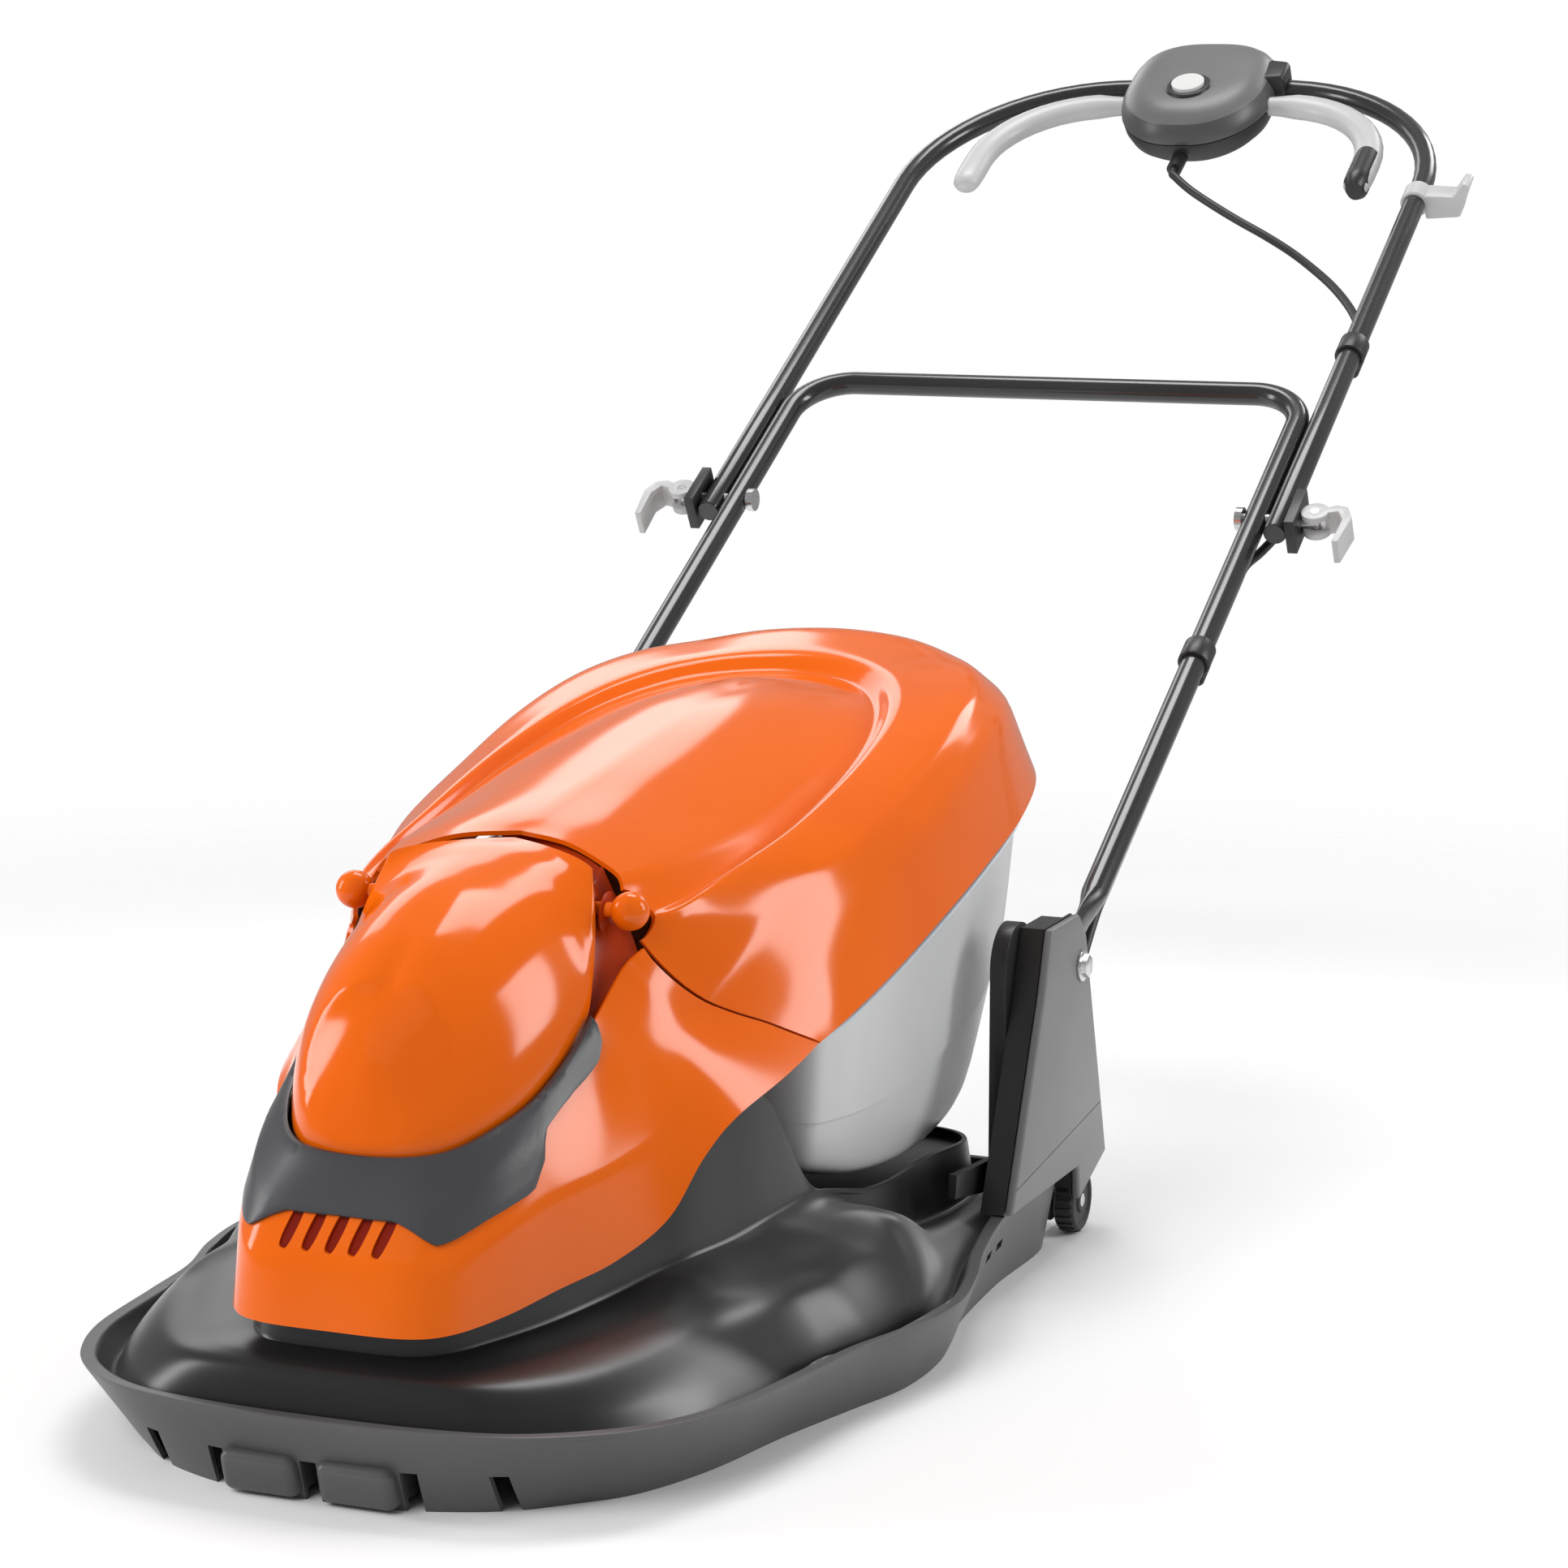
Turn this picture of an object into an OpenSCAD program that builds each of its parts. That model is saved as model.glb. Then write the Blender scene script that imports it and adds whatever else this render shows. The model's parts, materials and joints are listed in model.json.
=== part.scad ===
// Electric hover mower with a collection box under a hinged lid.
// X runs across, Y to the rear, Z up. The origin is on the ground under the blade spindle.

/* [Body] */
// Half the spacing of the handle towers, which the body follows across
body_half_w = 200; // [180:1:240]
// Spindle to the crest of the lid, which the body follows lengthwise
body_l = 500; // [460:5:560]
// Height of the lid hinge above the deck's foot line, which the body follows upwards
body_h = 250; // [230:5:280]
// Height of that foot line above the ground
body_lift = 16; // [14:0.5:18]
// Wall of the orange covers and of the collection box
skin_wall = 2.6; // [2:0.1:3.2]
// Wall of the deck moulding
deck_wall = 3.2; // [2.6:0.1:4]
// Gap along the split between hood and lid, and between lid and box
split_gap = 1.8; // [1.2:0.1:3]

/* [Deck] */
// Width of the flat top of the rim
rim_w = 9; // [7:0.5:12]
// Width of one block of the front comb
comb_block_w = 45; // [30:1:50]
// Gap between two blocks of the comb
comb_gap = 9; // [6:0.5:12]
// Height of the comb blocks
comb_h = 22; // [16:1:26]
// Length of a slot in the rear skirt
skirt_slot_l = 13; // [8:1:18]
// Height of a slot in the rear skirt
skirt_slot_h = 5; // [3:0.5:7]

/* [Vents] */
// Number of vent slots in the nose
vent_count = 5; // [3:1:7]
// Width of a vent slot
vent_w = 6.5; // [4:0.5:8]
// Pitch of the vent slots
vent_pitch = 13; // [11:0.5:15]
// Lean of the vent slots in degrees
vent_lean = 18; // [0:1:30]

/* [Cutting] */
// Cutting width, tip to tip
blade_d = 300; // [260:5:320]
// Width of the blade
blade_w = 42; // [30:1:50]
// Thickness of the blade
blade_t = 3; // [2:0.2:4]
// Height of the blade above the ground
cut_h = 20; // [16:1:26]
// Diameter of the impeller
impeller_d = 168; // [140:2:176]
// Height of the impeller vanes
vane_h = 14; // [8:1:16]
// Number of impeller vanes
vane_count = 9; // [6:1:12]

/* [Motor] */
// Diameter of the motor can
motor_d = 92; // [80:1:100]
// Height of the motor can
motor_h = 118; // [100:1:125]
// Diameter of the drive shaft
shaft_d = 10; // [8:0.5:12]
// Diameter of the armature
armature_d = 52; // [44:1:56]
// Outside diameter of the bearings
bearing_d = 26; // [22:1:30]
// Height of a bearing
bearing_h = 8; // [6:0.5:10]

/* [Handle] */
// Angle of the handle above the ground, in degrees
handle_angle = 29.5; // [22:0.5:38]
// Diameter of the handle tubes
tube_d = 16.5; // [15:0.5:19]
// Wall of the handle tubes
tube_wall = 1.5; // [1:0.1:2]
// How far the lower tubes stand outside their pivot lugs
lower_out = 1; // [0:0.5:2]
// Pivot to the cross bar of the lower handle
lower_l = 622; // [580:2:660]
// Bend radius of the lower handle
lower_bend = 40; // [34:1:48]
// Gap between the lower tubes and the upper ones beside them
tube_gap = 0.5; // [0.4:0.1:2]
// Pivot to the top bar of the upper handle
upper_l = 1058; // [980:2:1120]
// Bend radius of the upper handle
upper_bend = 150; // [110:2:160]
// Pivot to the fold joint
fold_u = 468; // [430:1:480]
// Diameter of the fold and pivot bolts
bolt_d = 8; // [6:0.5:9]

/* [Switch box] */
// Width of the switch box
switch_w = 122; // [105:1:135]
// Length of the switch box along the handle
switch_l = 138; // [120:2:150]
// Height of the switch box
switch_h = 54; // [46:1:64]
// Diameter of the lock-off button
button_d = 26; // [20:1:30]
// Travel of the lock-off button
button_travel = 4; // [3:0.5:6]
// Diameter of the bail lever
bail_d = 15; // [12:0.5:17]

/* [Wheels and lead] */
// Diameter of the rear wheels
wheel_d = 40; // [36:1:42]
// Width of the rear wheels
wheel_w = 13; // [10:0.5:14]
// Diameter of the motor lead
lead_d = 6.5; // [5:0.5:8]

/* [Hidden] */
$fn = 48;

// Overrun of every cut
over = 1;
// Running clearance of a pin in its bore, on the radius
run_fit = 0.05;
// Clearance between pieces that only lie beside each other
lie_gap = 0.3;
// Points of the shells are rounded to this
grain = 0.001;
orange = [0.93, 0.37, 0.05];
deck_grey = [0.33, 0.33, 0.34];
pale_grey = [0.78, 0.78, 0.78];
black = [0.08, 0.08, 0.09];
steel = [0.7, 0.71, 0.72];
tube_grey = [0.25, 0.25, 0.26];
brass_tone = [0.75, 0.6, 0.3];
copper = [0.72, 0.42, 0.26];
white = [0.92, 0.92, 0.92];

// Body outlines, as shares of body_half_w, body_l and body_h
deck_outline_shares = [
  [0, -0.366], [0.23, -0.36], [0.46, -0.326], [0.61, -0.276], [0.725, -0.224], [0.82, -0.132],
  [0.89, -0.01], [0.97, 0.1], [1.035, 0.19], [1.045, 0.284], [1.01, 0.37], [0.97, 0.44],
  [0.94, 0.6], [0.93, 0.78], [0.75, 0.81], [0, 0.816]];
rim_shares = [
  [0, -0.394, 0.12], [0.3, -0.388, 0.12], [0.54, -0.368, 0.12], [0.71, -0.324, 0.116],
  [0.835, -0.26, 0.108], [0.935, -0.16, 0.1], [0.99, -0.016, 0.092], [1.025, 0.09, 0.088],
  [1.09, 0.18, 0.088], [1.12, 0.28, 0.088], [1.08, 0.38, 0.09], [1.025, 0.47, 0.1],
  [0.985, 0.6, 0.12], [0.965, 0.792, 0.12], [0.75, 0.824, 0.12], [0, 0.828, 0.12]];
valley_h_shares = [
  0.08, 0.08, 0.078, 0.07, 0.06, 0.05, 0.044, 0.04, 0.036, 0.036, 0.04, 0.05, 0.06, 0.07, 0.08, 0.08];
// Foot of the deck's upper wall, then the heights of its foot and its top
upper_wall_shares = [
  [0, -0.312, 0.216, 0.292], [0.185, -0.308, 0.216, 0.292], [0.27, -0.284, 0.216, 0.294],
  [0.345, -0.228, 0.22, 0.31], [0.415, -0.164, 0.228, 0.33], [0.482, -0.09, 0.244, 0.36],
  [0.55, -0.026, 0.272, 0.4], [0.604, 0.016, 0.296, 0.49], [0.65, 0.07, 0.31, 0.55],
  [0.7, 0.14, 0.33, 0.58], [0.74, 0.24, 0.33, 0.336], [0.76, 0.4, 0.262, 0.262],
  [0.75, 0.58, 0.24, 0.24], [0.74, 0.72, 0.22, 0.22], [0.55, 0.762, 0.22, 0.22], [0, 0.766, 0.22, 0.22]];
// Rows of the hump: way from rim to upper wall, then height from valley to the wall's foot
hump_shares = [[0.1, 0], [0.22, 0.4], [0.4, 0.72], [0.64, 0.86], [0.88, 0.94]];
// How much of the hump each column has
hump_full_shares = [1, 1, 1, 1, 1, 1, 1, 1, 1, 1, 0.95, 0.6, 0.3, 0.3, 0.3, 0.3];
floor_h_share = 0.2;

hood_edge_shares = [
  [0, -0.332, 0.264], [0.2, -0.328, 0.264], [0.305, -0.304, 0.268], [0.38, -0.244, 0.28],
  [0.44, -0.168, 0.3], [0.51, -0.09, 0.324], [0.58, -0.02, 0.384], [0.635, 0.024, 0.5],
  [0.685, 0.08, 0.58], [0.755, 0.224, 0.664]];
hood_crease_shares = [
  [0, -0.324, 0.404], [0.19, -0.32, 0.404], [0.285, -0.3, 0.412], [0.36, -0.244, 0.448],
  [0.415, -0.168, 0.488], [0.475, -0.092, 0.52], [0.53, -0.02, 0.564], [0.56, 0.028, 0.64],
  [0.59, 0.08, 0.696], [0.64, 0.184, 0.744]];
hood_top_shares = [
  [0, -0.3, 0.488], [0.16, -0.298, 0.488], [0.25, -0.284, 0.5], [0.325, -0.232, 0.56],
  [0.38, -0.164, 0.608], [0.43, -0.076, 0.652], [0.47, -0.02, 0.704], [0.495, 0.028, 0.752],
  [0.51, 0.076, 0.788], [0.52, 0.132, 0.816]];
hood_base_shares = [
  [0, -0.268, 0.584], [0.15, -0.26, 0.588], [0.24, -0.236, 0.6], [0.31, -0.192, 0.632],
  [0.355, -0.14, 0.672], [0.38, -0.08, 0.736], [0.39, -0.028, 0.804], [0.4, 0.004, 0.856],
  [0.415, 0.026, 0.894], [0.435, 0.05, 0.92]];
dome_foot_shares = [
  [0, -0.261, 0.584], [0.135, -0.253, 0.588], [0.222, -0.23, 0.6], [0.29, -0.188, 0.632],
  [0.333, -0.138, 0.668], [0.356, -0.08, 0.728], [0.362, -0.032, 0.792], [0.354, -0.008, 0.872],
  [0.335, 0.016, 0.976], [0.3, 0.04, 1.08]];
dome_crown_shares = [
  [0, -0.24, 0.78], [0, -0.216, 0.852], [0, -0.184, 0.924], [0, -0.144, 0.988], [0, -0.1, 1.032],
  [0, -0.056, 1.066], [0, -0.012, 1.088], [0, 0.028, 1.102], [0, 0.064, 1.112], [0, 0.1, 1.116]];
// Lower edge of the chin band: 0 on the crease, 1 on the top row, 2 on the dome's foot
band_low_shares = [0.96, 0.96, 0.32, 0.34, 0.62, 1.1, 1.62];

lid_edge_shares = [
  [0.755, 0.224, 0.664], [0.78, 0.3, 0.7], [0.805, 0.42, 0.76], [0.825, 0.58, 0.848],
  [0.82, 0.72, 0.912], [0.79, 0.86, 0.964], [0.71, 1, 1.012], [0.56, 1.096, 1.048],
  [0.31, 1.152, 1.068], [0, 1.168, 1.076]];
lid_crease_shares = [
  [0.64, 0.184, 0.744], [0.7, 0.28, 0.856], [0.755, 0.41, 0.952], [0.78, 0.56, 1.048],
  [0.77, 0.71, 1.134], [0.73, 0.85, 1.19], [0.64, 0.972, 1.21], [0.49, 1.052, 1.235],
  [0.27, 1.096, 1.285], [0, 1.108, 1.305]];
lid_shoulder_shares = [
  [0.52, 0.132, 0.816], [0.6, 0.23, 0.928], [0.685, 0.36, 1.024], [0.705, 0.54, 1.12],
  [0.695, 0.69, 1.204], [0.65, 0.82, 1.265], [0.56, 0.924, 1.3], [0.42, 0.992, 1.316],
  [0.23, 1.03, 1.34], [0, 1.04, 1.35]];
lid_ridge_shares = [
  [0.41, 0.032, 0.955], [0.5, 0.14, 1.02], [0.55, 0.33, 1.082], [0.56, 0.5, 1.152],
  [0.53, 0.64, 1.212], [0.47, 0.744, 1.256], [0.38, 0.824, 1.286], [0.275, 0.876, 1.302],
  [0.15, 0.906, 1.31], [0, 0.916, 1.314]];
lid_panel_shares = [
  [0.35, 0.064, 1.066], [0.4, 0.15, 1.078], [0.44, 0.3, 1.1], [0.44, 0.46, 1.15],
  [0.41, 0.59, 1.196], [0.36, 0.68, 1.23], [0.29, 0.75, 1.252], [0.2, 0.8, 1.266],
  [0.11, 0.83, 1.274], [0, 0.84, 1.276]];
lid_crown_shares = [
  [0, 0.11, 1.126], [0, 0.17, 1.15], [0, 0.28, 1.184], [0, 0.4, 1.216], [0, 0.5, 1.242],
  [0, 0.58, 1.26], [0, 0.64, 1.27], [0, 0.69, 1.276], [0, 0.72, 1.28], [0, 0.74, 1.282]];
// How deep the step inside the ridge is along it, and how high the panel arches
lid_step_shares = [0, 0.7, 1, 1, 1, 1, 1, 1, 1, 1];
lid_arch_shares = [1, 1, 1, 1, 1, 0.9, 0.7, 0.5, 0.4, 0.3];

box_rim_shares = [
  [0, 0.25, 0.65], [0.4, 0.25, 0.65], [0.68, 0.252, 0.65], [0.735, 0.3, 0.676], [0.765, 0.42, 0.736],
  [0.785, 0.58, 0.822], [0.78, 0.72, 0.888], [0.75, 0.85, 0.938], [0.67, 0.975, 0.984],
  [0.52, 1.064, 1.02], [0.29, 1.116, 1.04], [0, 1.13, 1.048]];
box_waist_shares = [
  [0, 0.256, 0.46], [0.4, 0.256, 0.46], [0.66, 0.26, 0.46], [0.715, 0.31, 0.45], [0.74, 0.42, 0.44],
  [0.755, 0.56, 0.46], [0.75, 0.7, 0.5], [0.72, 0.82, 0.56], [0.65, 0.94, 0.63], [0.505, 1.03, 0.68],
  [0.28, 1.08, 0.7], [0, 1.094, 0.71]];
box_foot_shares = [
  [0, 0.27, 0.35], [0.4, 0.27, 0.35], [0.62, 0.274, 0.35], [0.68, 0.32, 0.325], [0.7, 0.42, 0.28],
  [0.705, 0.54, 0.25], [0.69, 0.64, 0.25], [0.65, 0.73, 0.28], [0.56, 0.81, 0.32], [0.42, 0.865, 0.35],
  [0.22, 0.895, 0.37], [0, 0.905, 0.38]];
box_floor_shares = [
  [0, 0.32, 0.31], [0.3, 0.32, 0.31], [0.5, 0.33, 0.305], [0.54, 0.36, 0.29], [0.56, 0.42, 0.26],
  [0.56, 0.52, 0.235], [0.55, 0.6, 0.235], [0.5, 0.67, 0.25], [0.42, 0.73, 0.27], [0.3, 0.77, 0.29],
  [0.16, 0.79, 0.3], [0, 0.795, 0.305]];
box_keel_shares = [
  [0, 0.36, 0.29], [0, 0.38, 0.28], [0, 0.4, 0.27], [0, 0.43, 0.256], [0, 0.47, 0.242], [0, 0.52, 0.235],
  [0, 0.57, 0.235], [0, 0.61, 0.242], [0, 0.64, 0.25], [0, 0.66, 0.258], [0, 0.675, 0.264],
  [0, 0.685, 0.268]];

// Places that several pieces share
hinge_y_share = 0.042;
hinge_y = hinge_y_share * body_l;
hinge_z = body_h + body_lift;
hinge_x_share = 0.405;
hinge_x = hinge_x_share * body_half_w;
pivot_y_share = 0.816;
pivot_y = pivot_y_share * body_l;
pivot_z_share = 0.62;
pivot_z = pivot_z_share * body_h + body_lift;
lug_x_share = 0.955;
lug_x = lug_x_share * body_half_w;
lower_x = lug_x + lower_out;
upper_x = lower_x + tube_d + tube_gap;
floor_z = floor_h_share * body_h + body_lift;
rim_rear_z = rim_shares[len(rim_shares) - 1][2] * body_h + body_lift;
tube_r = tube_d / 2;

// Points and curves
function place(s) = [s[0] * body_half_w, s[1] * body_l, s[2] * body_h + body_lift];
function flip(p) = [0 - p[0], p[1], p[2]];
function mix(a, b, t) = a + (b - a) * t;
function curve(a, b, c, d, t) =
  (2 * b + (c - a) * t + (2 * a - 5 * b + 4 * c - d) * t * t + (3 * b - a - 3 * c + d) * t * t * t) / 2;
function snap(p) = [for (c = p) round(c / grain) * grain];
function reverse(v) = [for (i = [len(v) - 1 : -1 : 0]) v[i]];
// A round row from a half row that starts and ends on the middle plane
function ring(v) = concat(v, [for (i = [len(v) - 2 : -1 : 1]) flip(v[i])]);
// An open row, left to right, from a half row that starts on the middle plane
function bow(v) = concat([for (i = [len(v) - 1 : -1 : 1]) flip(v[i])], v);
function end_point(v, i, round_row) =
  round_row ? v[(i + len(v)) % len(v)]
  : i < 0 ? 2 * v[0] - v[1]
  : i >= len(v) ? 2 * v[len(v) - 1] - v[len(v) - 2]
  : v[i];
// A row with steps points on each stretch
function fine(v, steps, round_row) = [
  for (i = [0 : len(v) - (round_row ? 1 : 2)], k = [0 : steps - 1])
    snap(curve(end_point(v, i - 1, round_row), v[i], end_point(v, i + 1, round_row),
               end_point(v, i + 2, round_row), k / steps)),
  if (!round_row) snap(v[len(v) - 1])];

// A shell: an outer grid of rows, a copy of it one wall inside, and strips along the open edges
function grid_at(g, i, j, round_row) =
  g[min(max(i, 0), len(g) - 1)][round_row ? (j + len(g[0])) % len(g[0]) : min(max(j, 0), len(g[0]) - 1)];
function grid_normal(g, i, j, round_row) =
  let (n = cross(grid_at(g, i, j + 1, round_row) - grid_at(g, i, j - 1, round_row),
                 grid_at(g, i + 1, j, round_row) - grid_at(g, i - 1, j, round_row)))
  n / max(norm(n), 1e-9);
function inset(g, wall, round_row, level_row) = [
  for (i = [0 : len(g) - 1]) [
    for (j = [0 : len(g[0]) - 1])
      let (p = g[i][j], n = grid_normal(g, i, j, round_row),
           flat = [p[0] == 0 ? 0 : n[0], n[1], i == level_row ? 0 : n[2]],
           q = p - wall * flat / max(norm(flat), 1e-9))
      snap([p[0] == 0 ? 0 : q[0], q[1], q[2]])]];
// The last row of a seamed shell lies folded on the middle plane, so its two halves share their points
function seam_point(k, rows, cols, round_row) =
  let (side = k >= rows * cols ? rows * cols : 0, first = side + (rows - 1) * cols, j = k - first,
       twin = round_row ? (cols - j) % cols : cols - 1 - j)
  k >= first && j < cols ? first + min(j, twin) : k;
function quad(a, b, c, d) = [[a, b, c], [a, c, d]];
function flat_list(v) = [for (a = v, b = a) b];
module shell(g, wall, round_row = false, seam = false, level_row = -1, lift = 0) {
  rows = len(g);
  cols = len(g[0]);
  top = lift == 0 ? g : inset(g, -lift, round_row, level_row);
  low = inset(g, wall - lift, round_row, level_row);
  n = rows * cols;
  last = round_row ? cols - 1 : cols - 2;
  skin = flat_list([for (i = [0 : rows - 2], j = [0 : last])
    let (a = i * cols + j, b = i * cols + (j + 1) % cols) quad(a, b, b + cols, a + cols)]);
  first_edge = flat_list([for (j = [0 : last]) let (a = j, b = (j + 1) % cols) quad(b, a, a + n, b + n)]);
  last_edge = seam ? [] : flat_list([for (j = [0 : last])
    let (a = (rows - 1) * cols + j, b = (rows - 1) * cols + (j + 1) % cols) quad(a, b, b + n, a + n)]);
  sides = round_row ? [] : flat_list([for (i = [0 : rows - 2])
    let (a = i * cols, b = (i + 1) * cols - 1)
    concat(quad(a, a + cols, a + cols + n, a + n), quad(b + cols, b, b + n, b + cols + n))]);
  under = [for (f = skin) [f[2] + n, f[1] + n, f[0] + n]];
  faces = concat(skin, under, first_edge, last_edge, sides);
  joined = seam ? [for (f = faces) [for (k = f) seam_point(k, rows, cols, round_row)]] : faces;
  polyhedron(concat(flat_list(top), flat_list(low)), [for (f = joined) reverse(f)]);
}
// A solid through a pile of rings
module loft(rings) {
  cols = len(rings[0]);
  rows = len(rings);
  walls = flat_list([for (i = [0 : rows - 2], j = [0 : cols - 1])
    let (a = i * cols + j, b = i * cols + (j + 1) % cols) quad(a, a + cols, b + cols, b)]);
  low_cap = [for (j = [1 : cols - 2]) [0, j, j + 1]];
  high_cap = [for (j = [1 : cols - 2]) let (k = (rows - 1) * cols) [k, k + j + 1, k + j]];
  polyhedron(flat_list(rings), concat(walls, low_cap, high_cap));
}
// A round tube along a list of points
module sweep(route, d, sides) {
  last = len(route) - 1;
  rings = [for (i = [0 : last])
    let (t = route[min(i + 1, last)] - route[max(i - 1, 0)], way = t / norm(t),
         side = cross(way, [0, 0, 1]), n = side / norm(side), b = cross(n, way))
    [for (k = [0 : sides - 1])
      snap(route[i] + d / 2 * (cos(360 * k / sides) * n + sin(360 * k / sides) * b))]];
  loft([for (r = rings) reverse(r)]);
}
module mirrored(side) {
  mirror([side < 0 ? 1 : 0, 0, 0]) children();
}
// Lays a side view drawn in Y and Z on its edge, and gives it a width across
module across(from, width) {
  translate([from, 0, 0]) rotate([90, 0, 90]) linear_extrude(width) children();
}
module pin_across(from, width, d) {
  translate([from, 0, 0]) rotate([0, 90, 0]) cylinder(d = d, h = width);
}
module on_handle() {
  translate([0, pivot_y, pivot_z]) rotate([handle_angle, 0, 0]) children();
}

// A straight round bar between two points
module bar(a, b, d) {
  way = b - a;
  translate(a) rotate([0, acos(way[2] / norm(way)), atan2(way[1], way[0])]) cylinder(d = d, h = norm(way));
}

// Deck
comb_depth = 44;
comb_shares = [-1.8, -1, 0, 1, 1.8];
slot_x_share = 0.975;
slot_y_share = 0.52;
slot_z_share = 0.05;
plate_d = 130;
plate_t = 5;
plate_hole_d = 46;
screw_d = 5;
screw_ring = 112;
skid_w = 14;
skid_x_share = 0.3;
skid_from_share = 0.52;
skid_to_share = 0.57;
skid_gap = 3.2;
function deck_outline() = [for (s = deck_outline_shares) [s[0] * body_half_w, s[1] * body_l, 0]];
function deck_rim() = [for (s = rim_shares) place(s)];
function deck_foot() = [for (s = upper_wall_shares) place(s)];
function level_way(a, b) = let (d = [b[0] - a[0], b[1] - a[1], 0]) d / norm(d);
function deck_rim_in() =
  let (rim = deck_rim(), foot = deck_foot())
  [for (i = [0 : len(rim) - 1]) rim[i] + rim_w * level_way(rim[i], foot[i])];
function valley_z(i) = valley_h_shares[i] * body_h + body_lift;
function deck_rows() =
  let (rim = deck_rim(), rim_in = deck_rim_in(), foot = deck_foot(), n = len(rim),
       hump = [for (r = hump_shares) [for (i = [0 : n - 1])
         let (p = mix(rim_in[i], foot[i], r[0]))
         [p[0], p[1], mix(valley_z(i), foot[i][2], r[1] * hump_full_shares[i])]]],
       top = [for (s = upper_wall_shares) place([s[0], s[1], s[3]])],
       wall_top = [for (i = [0 : n - 1]) top[i] + deck_wall * level_way(rim[i], foot[i])])
  concat([deck_outline(), rim, rim_in], hump, [foot, wall_top]);
// Outline of the floor, where it runs into the wall of the hump
function floor_outline() =
  let (rim_in = deck_rim_in(), foot = deck_foot())
  [for (i = [0 : len(foot) - 1])
    let (rise = (floor_z + deck_wall / 2 - valley_z(i)) / (foot[i][2] - valley_z(i)),
         t = lookup(rise, concat([for (r = hump_shares) [r[1] * hump_full_shares[i], r[0]]], [[1, 1]])),
         p = mix(rim_in[i], foot[i], t))
    [p[0], p[1]]];
skid_top = box_keel_shares[5][2] * body_h + body_lift - skid_gap;
module hover_deck() {
  half = floor_outline();
  round_outline = concat(half, [for (i = [len(half) - 2 : -1 : 1]) [0 - half[i][0], half[i][1]]]);
  color(deck_grey) difference() {
    union() {
      shell([for (r = deck_rows()) fine(ring(r), 2, true)], deck_wall, round_row = true, level_row = 0);
      translate([0, 0, floor_z - deck_wall]) linear_extrude(deck_wall) polygon(round_outline);
      for (side = [-1, 1])
        translate([side * skid_x_share * body_half_w - skid_w / 2, skid_from_share * body_l,
                   floor_z - deck_wall])
          cube([skid_w, (skid_to_share - skid_from_share) * body_l, skid_top - floor_z + deck_wall]);
    }
    for (k = comb_shares)
      translate([k * (comb_block_w + comb_gap) - comb_gap / 2, rim_shares[0][1] * body_l - over, -over])
        cube([comb_gap, comb_depth, comb_h + over]);
    for (side = [-1, 1], k = [0, 1])
      translate([side * slot_x_share * body_half_w, slot_y_share * body_l + k * 2 * skirt_slot_l,
                 slot_z_share * body_h + body_lift])
        cube([rim_w * 3, skirt_slot_l, skirt_slot_h], center = true);
    translate([0, 0, floor_z - deck_wall - over]) cylinder(d = plate_hole_d, h = deck_wall + 2 * over);
    for (k = [0 : 3]) rotate([0, 0, 45 + 90 * k])
      translate([screw_ring / 2, 0, floor_z - deck_wall - over])
        cylinder(d = screw_d + 2 * run_fit, h = deck_wall + 2 * over);
    translate([chute_wall - chute_w, chute_front + chute_wall, floor_z - deck_wall - over])
      cube([2 * (chute_w - chute_wall), chute_back - chute_front - 2 * chute_wall, deck_wall + 2 * over]);
  }
}

// Hood, dome and chin band
function hood_rows() = [for (r = [hood_edge_shares, hood_crease_shares, hood_top_shares, hood_base_shares])
  [for (s = r) place(s)]];
vent_z_share = 0.446;
vent_h = 15.5;
vent_deep = 40;
module motor_hood() {
  color(orange) difference() {
    shell([for (r = hood_rows()) fine(bow(r), 2, false)], skin_wall);
    for (i = [0 : vent_count - 1])
      translate([(i - (vent_count - 1) / 2) * vent_pitch, hood_crease_shares[0][1] * body_l,
                 vent_z_share * body_h + body_lift])
        rotate([0, vent_lean, 0])
          cube([vent_w, vent_deep, vent_h], center = true);
  }
}
dome_steps = 5;
function dome_row(k) =
  let (a = 90 * k / dome_steps)
  [for (i = [0 : len(dome_foot_shares) - 1])
    let (foot = place(dome_foot_shares[i]), c = place(dome_crown_shares[i]))
    [k == dome_steps ? 0 : foot[0] * cos(a), mix(foot[1], c[1], 1 - cos(a)), mix(foot[2], c[2], sin(a))]];
ball_d = 17.5;
ball_room = 4;
hinge_pin_d = 8;
hinge_pin_l = 28;
bracket_in = 27;
bracket_x = hinge_x - bracket_in;
bracket_w = 10;
bracket_l = 22;
bracket_h = 16;
dome_post_d = 18;
dome_post_top_share = 1.08;
module motor_dome() {
  color(orange) difference() {
    union() {
      shell([for (k = [0 : dome_steps]) fine(bow(dome_row(k)), 2, false)], skin_wall, seam = true);
      translate([0, 0, cap_top])
        cylinder(d = dome_post_d, h = dome_post_top_share * body_h + body_lift - cap_top);
      for (side = [-1, 1]) mirrored(side)
        translate([bracket_x, hinge_y - bracket_l, hinge_z - bracket_h / 2]) {
          cube([bracket_w, bracket_l, bracket_h]);
          translate([0, bracket_l, bracket_h / 2]) pin_across(0, bracket_w, bracket_h);
        }
    }
    for (side = [-1, 1]) mirrored(side) translate([hinge_x - hinge_pin_l, hinge_y, hinge_z])
      pin_across(0, hinge_pin_l, hinge_pin_d + 2 * run_fit);
  }
}
band_lift = 2;
band_top_share = 1.98;
band_mid_share = 0.3;
function band_point(rows, j, t) =
  t < 1 ? mix(rows[1][j], rows[2][j], t) : mix(rows[2][j], rows[3][j], t - 1);
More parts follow.
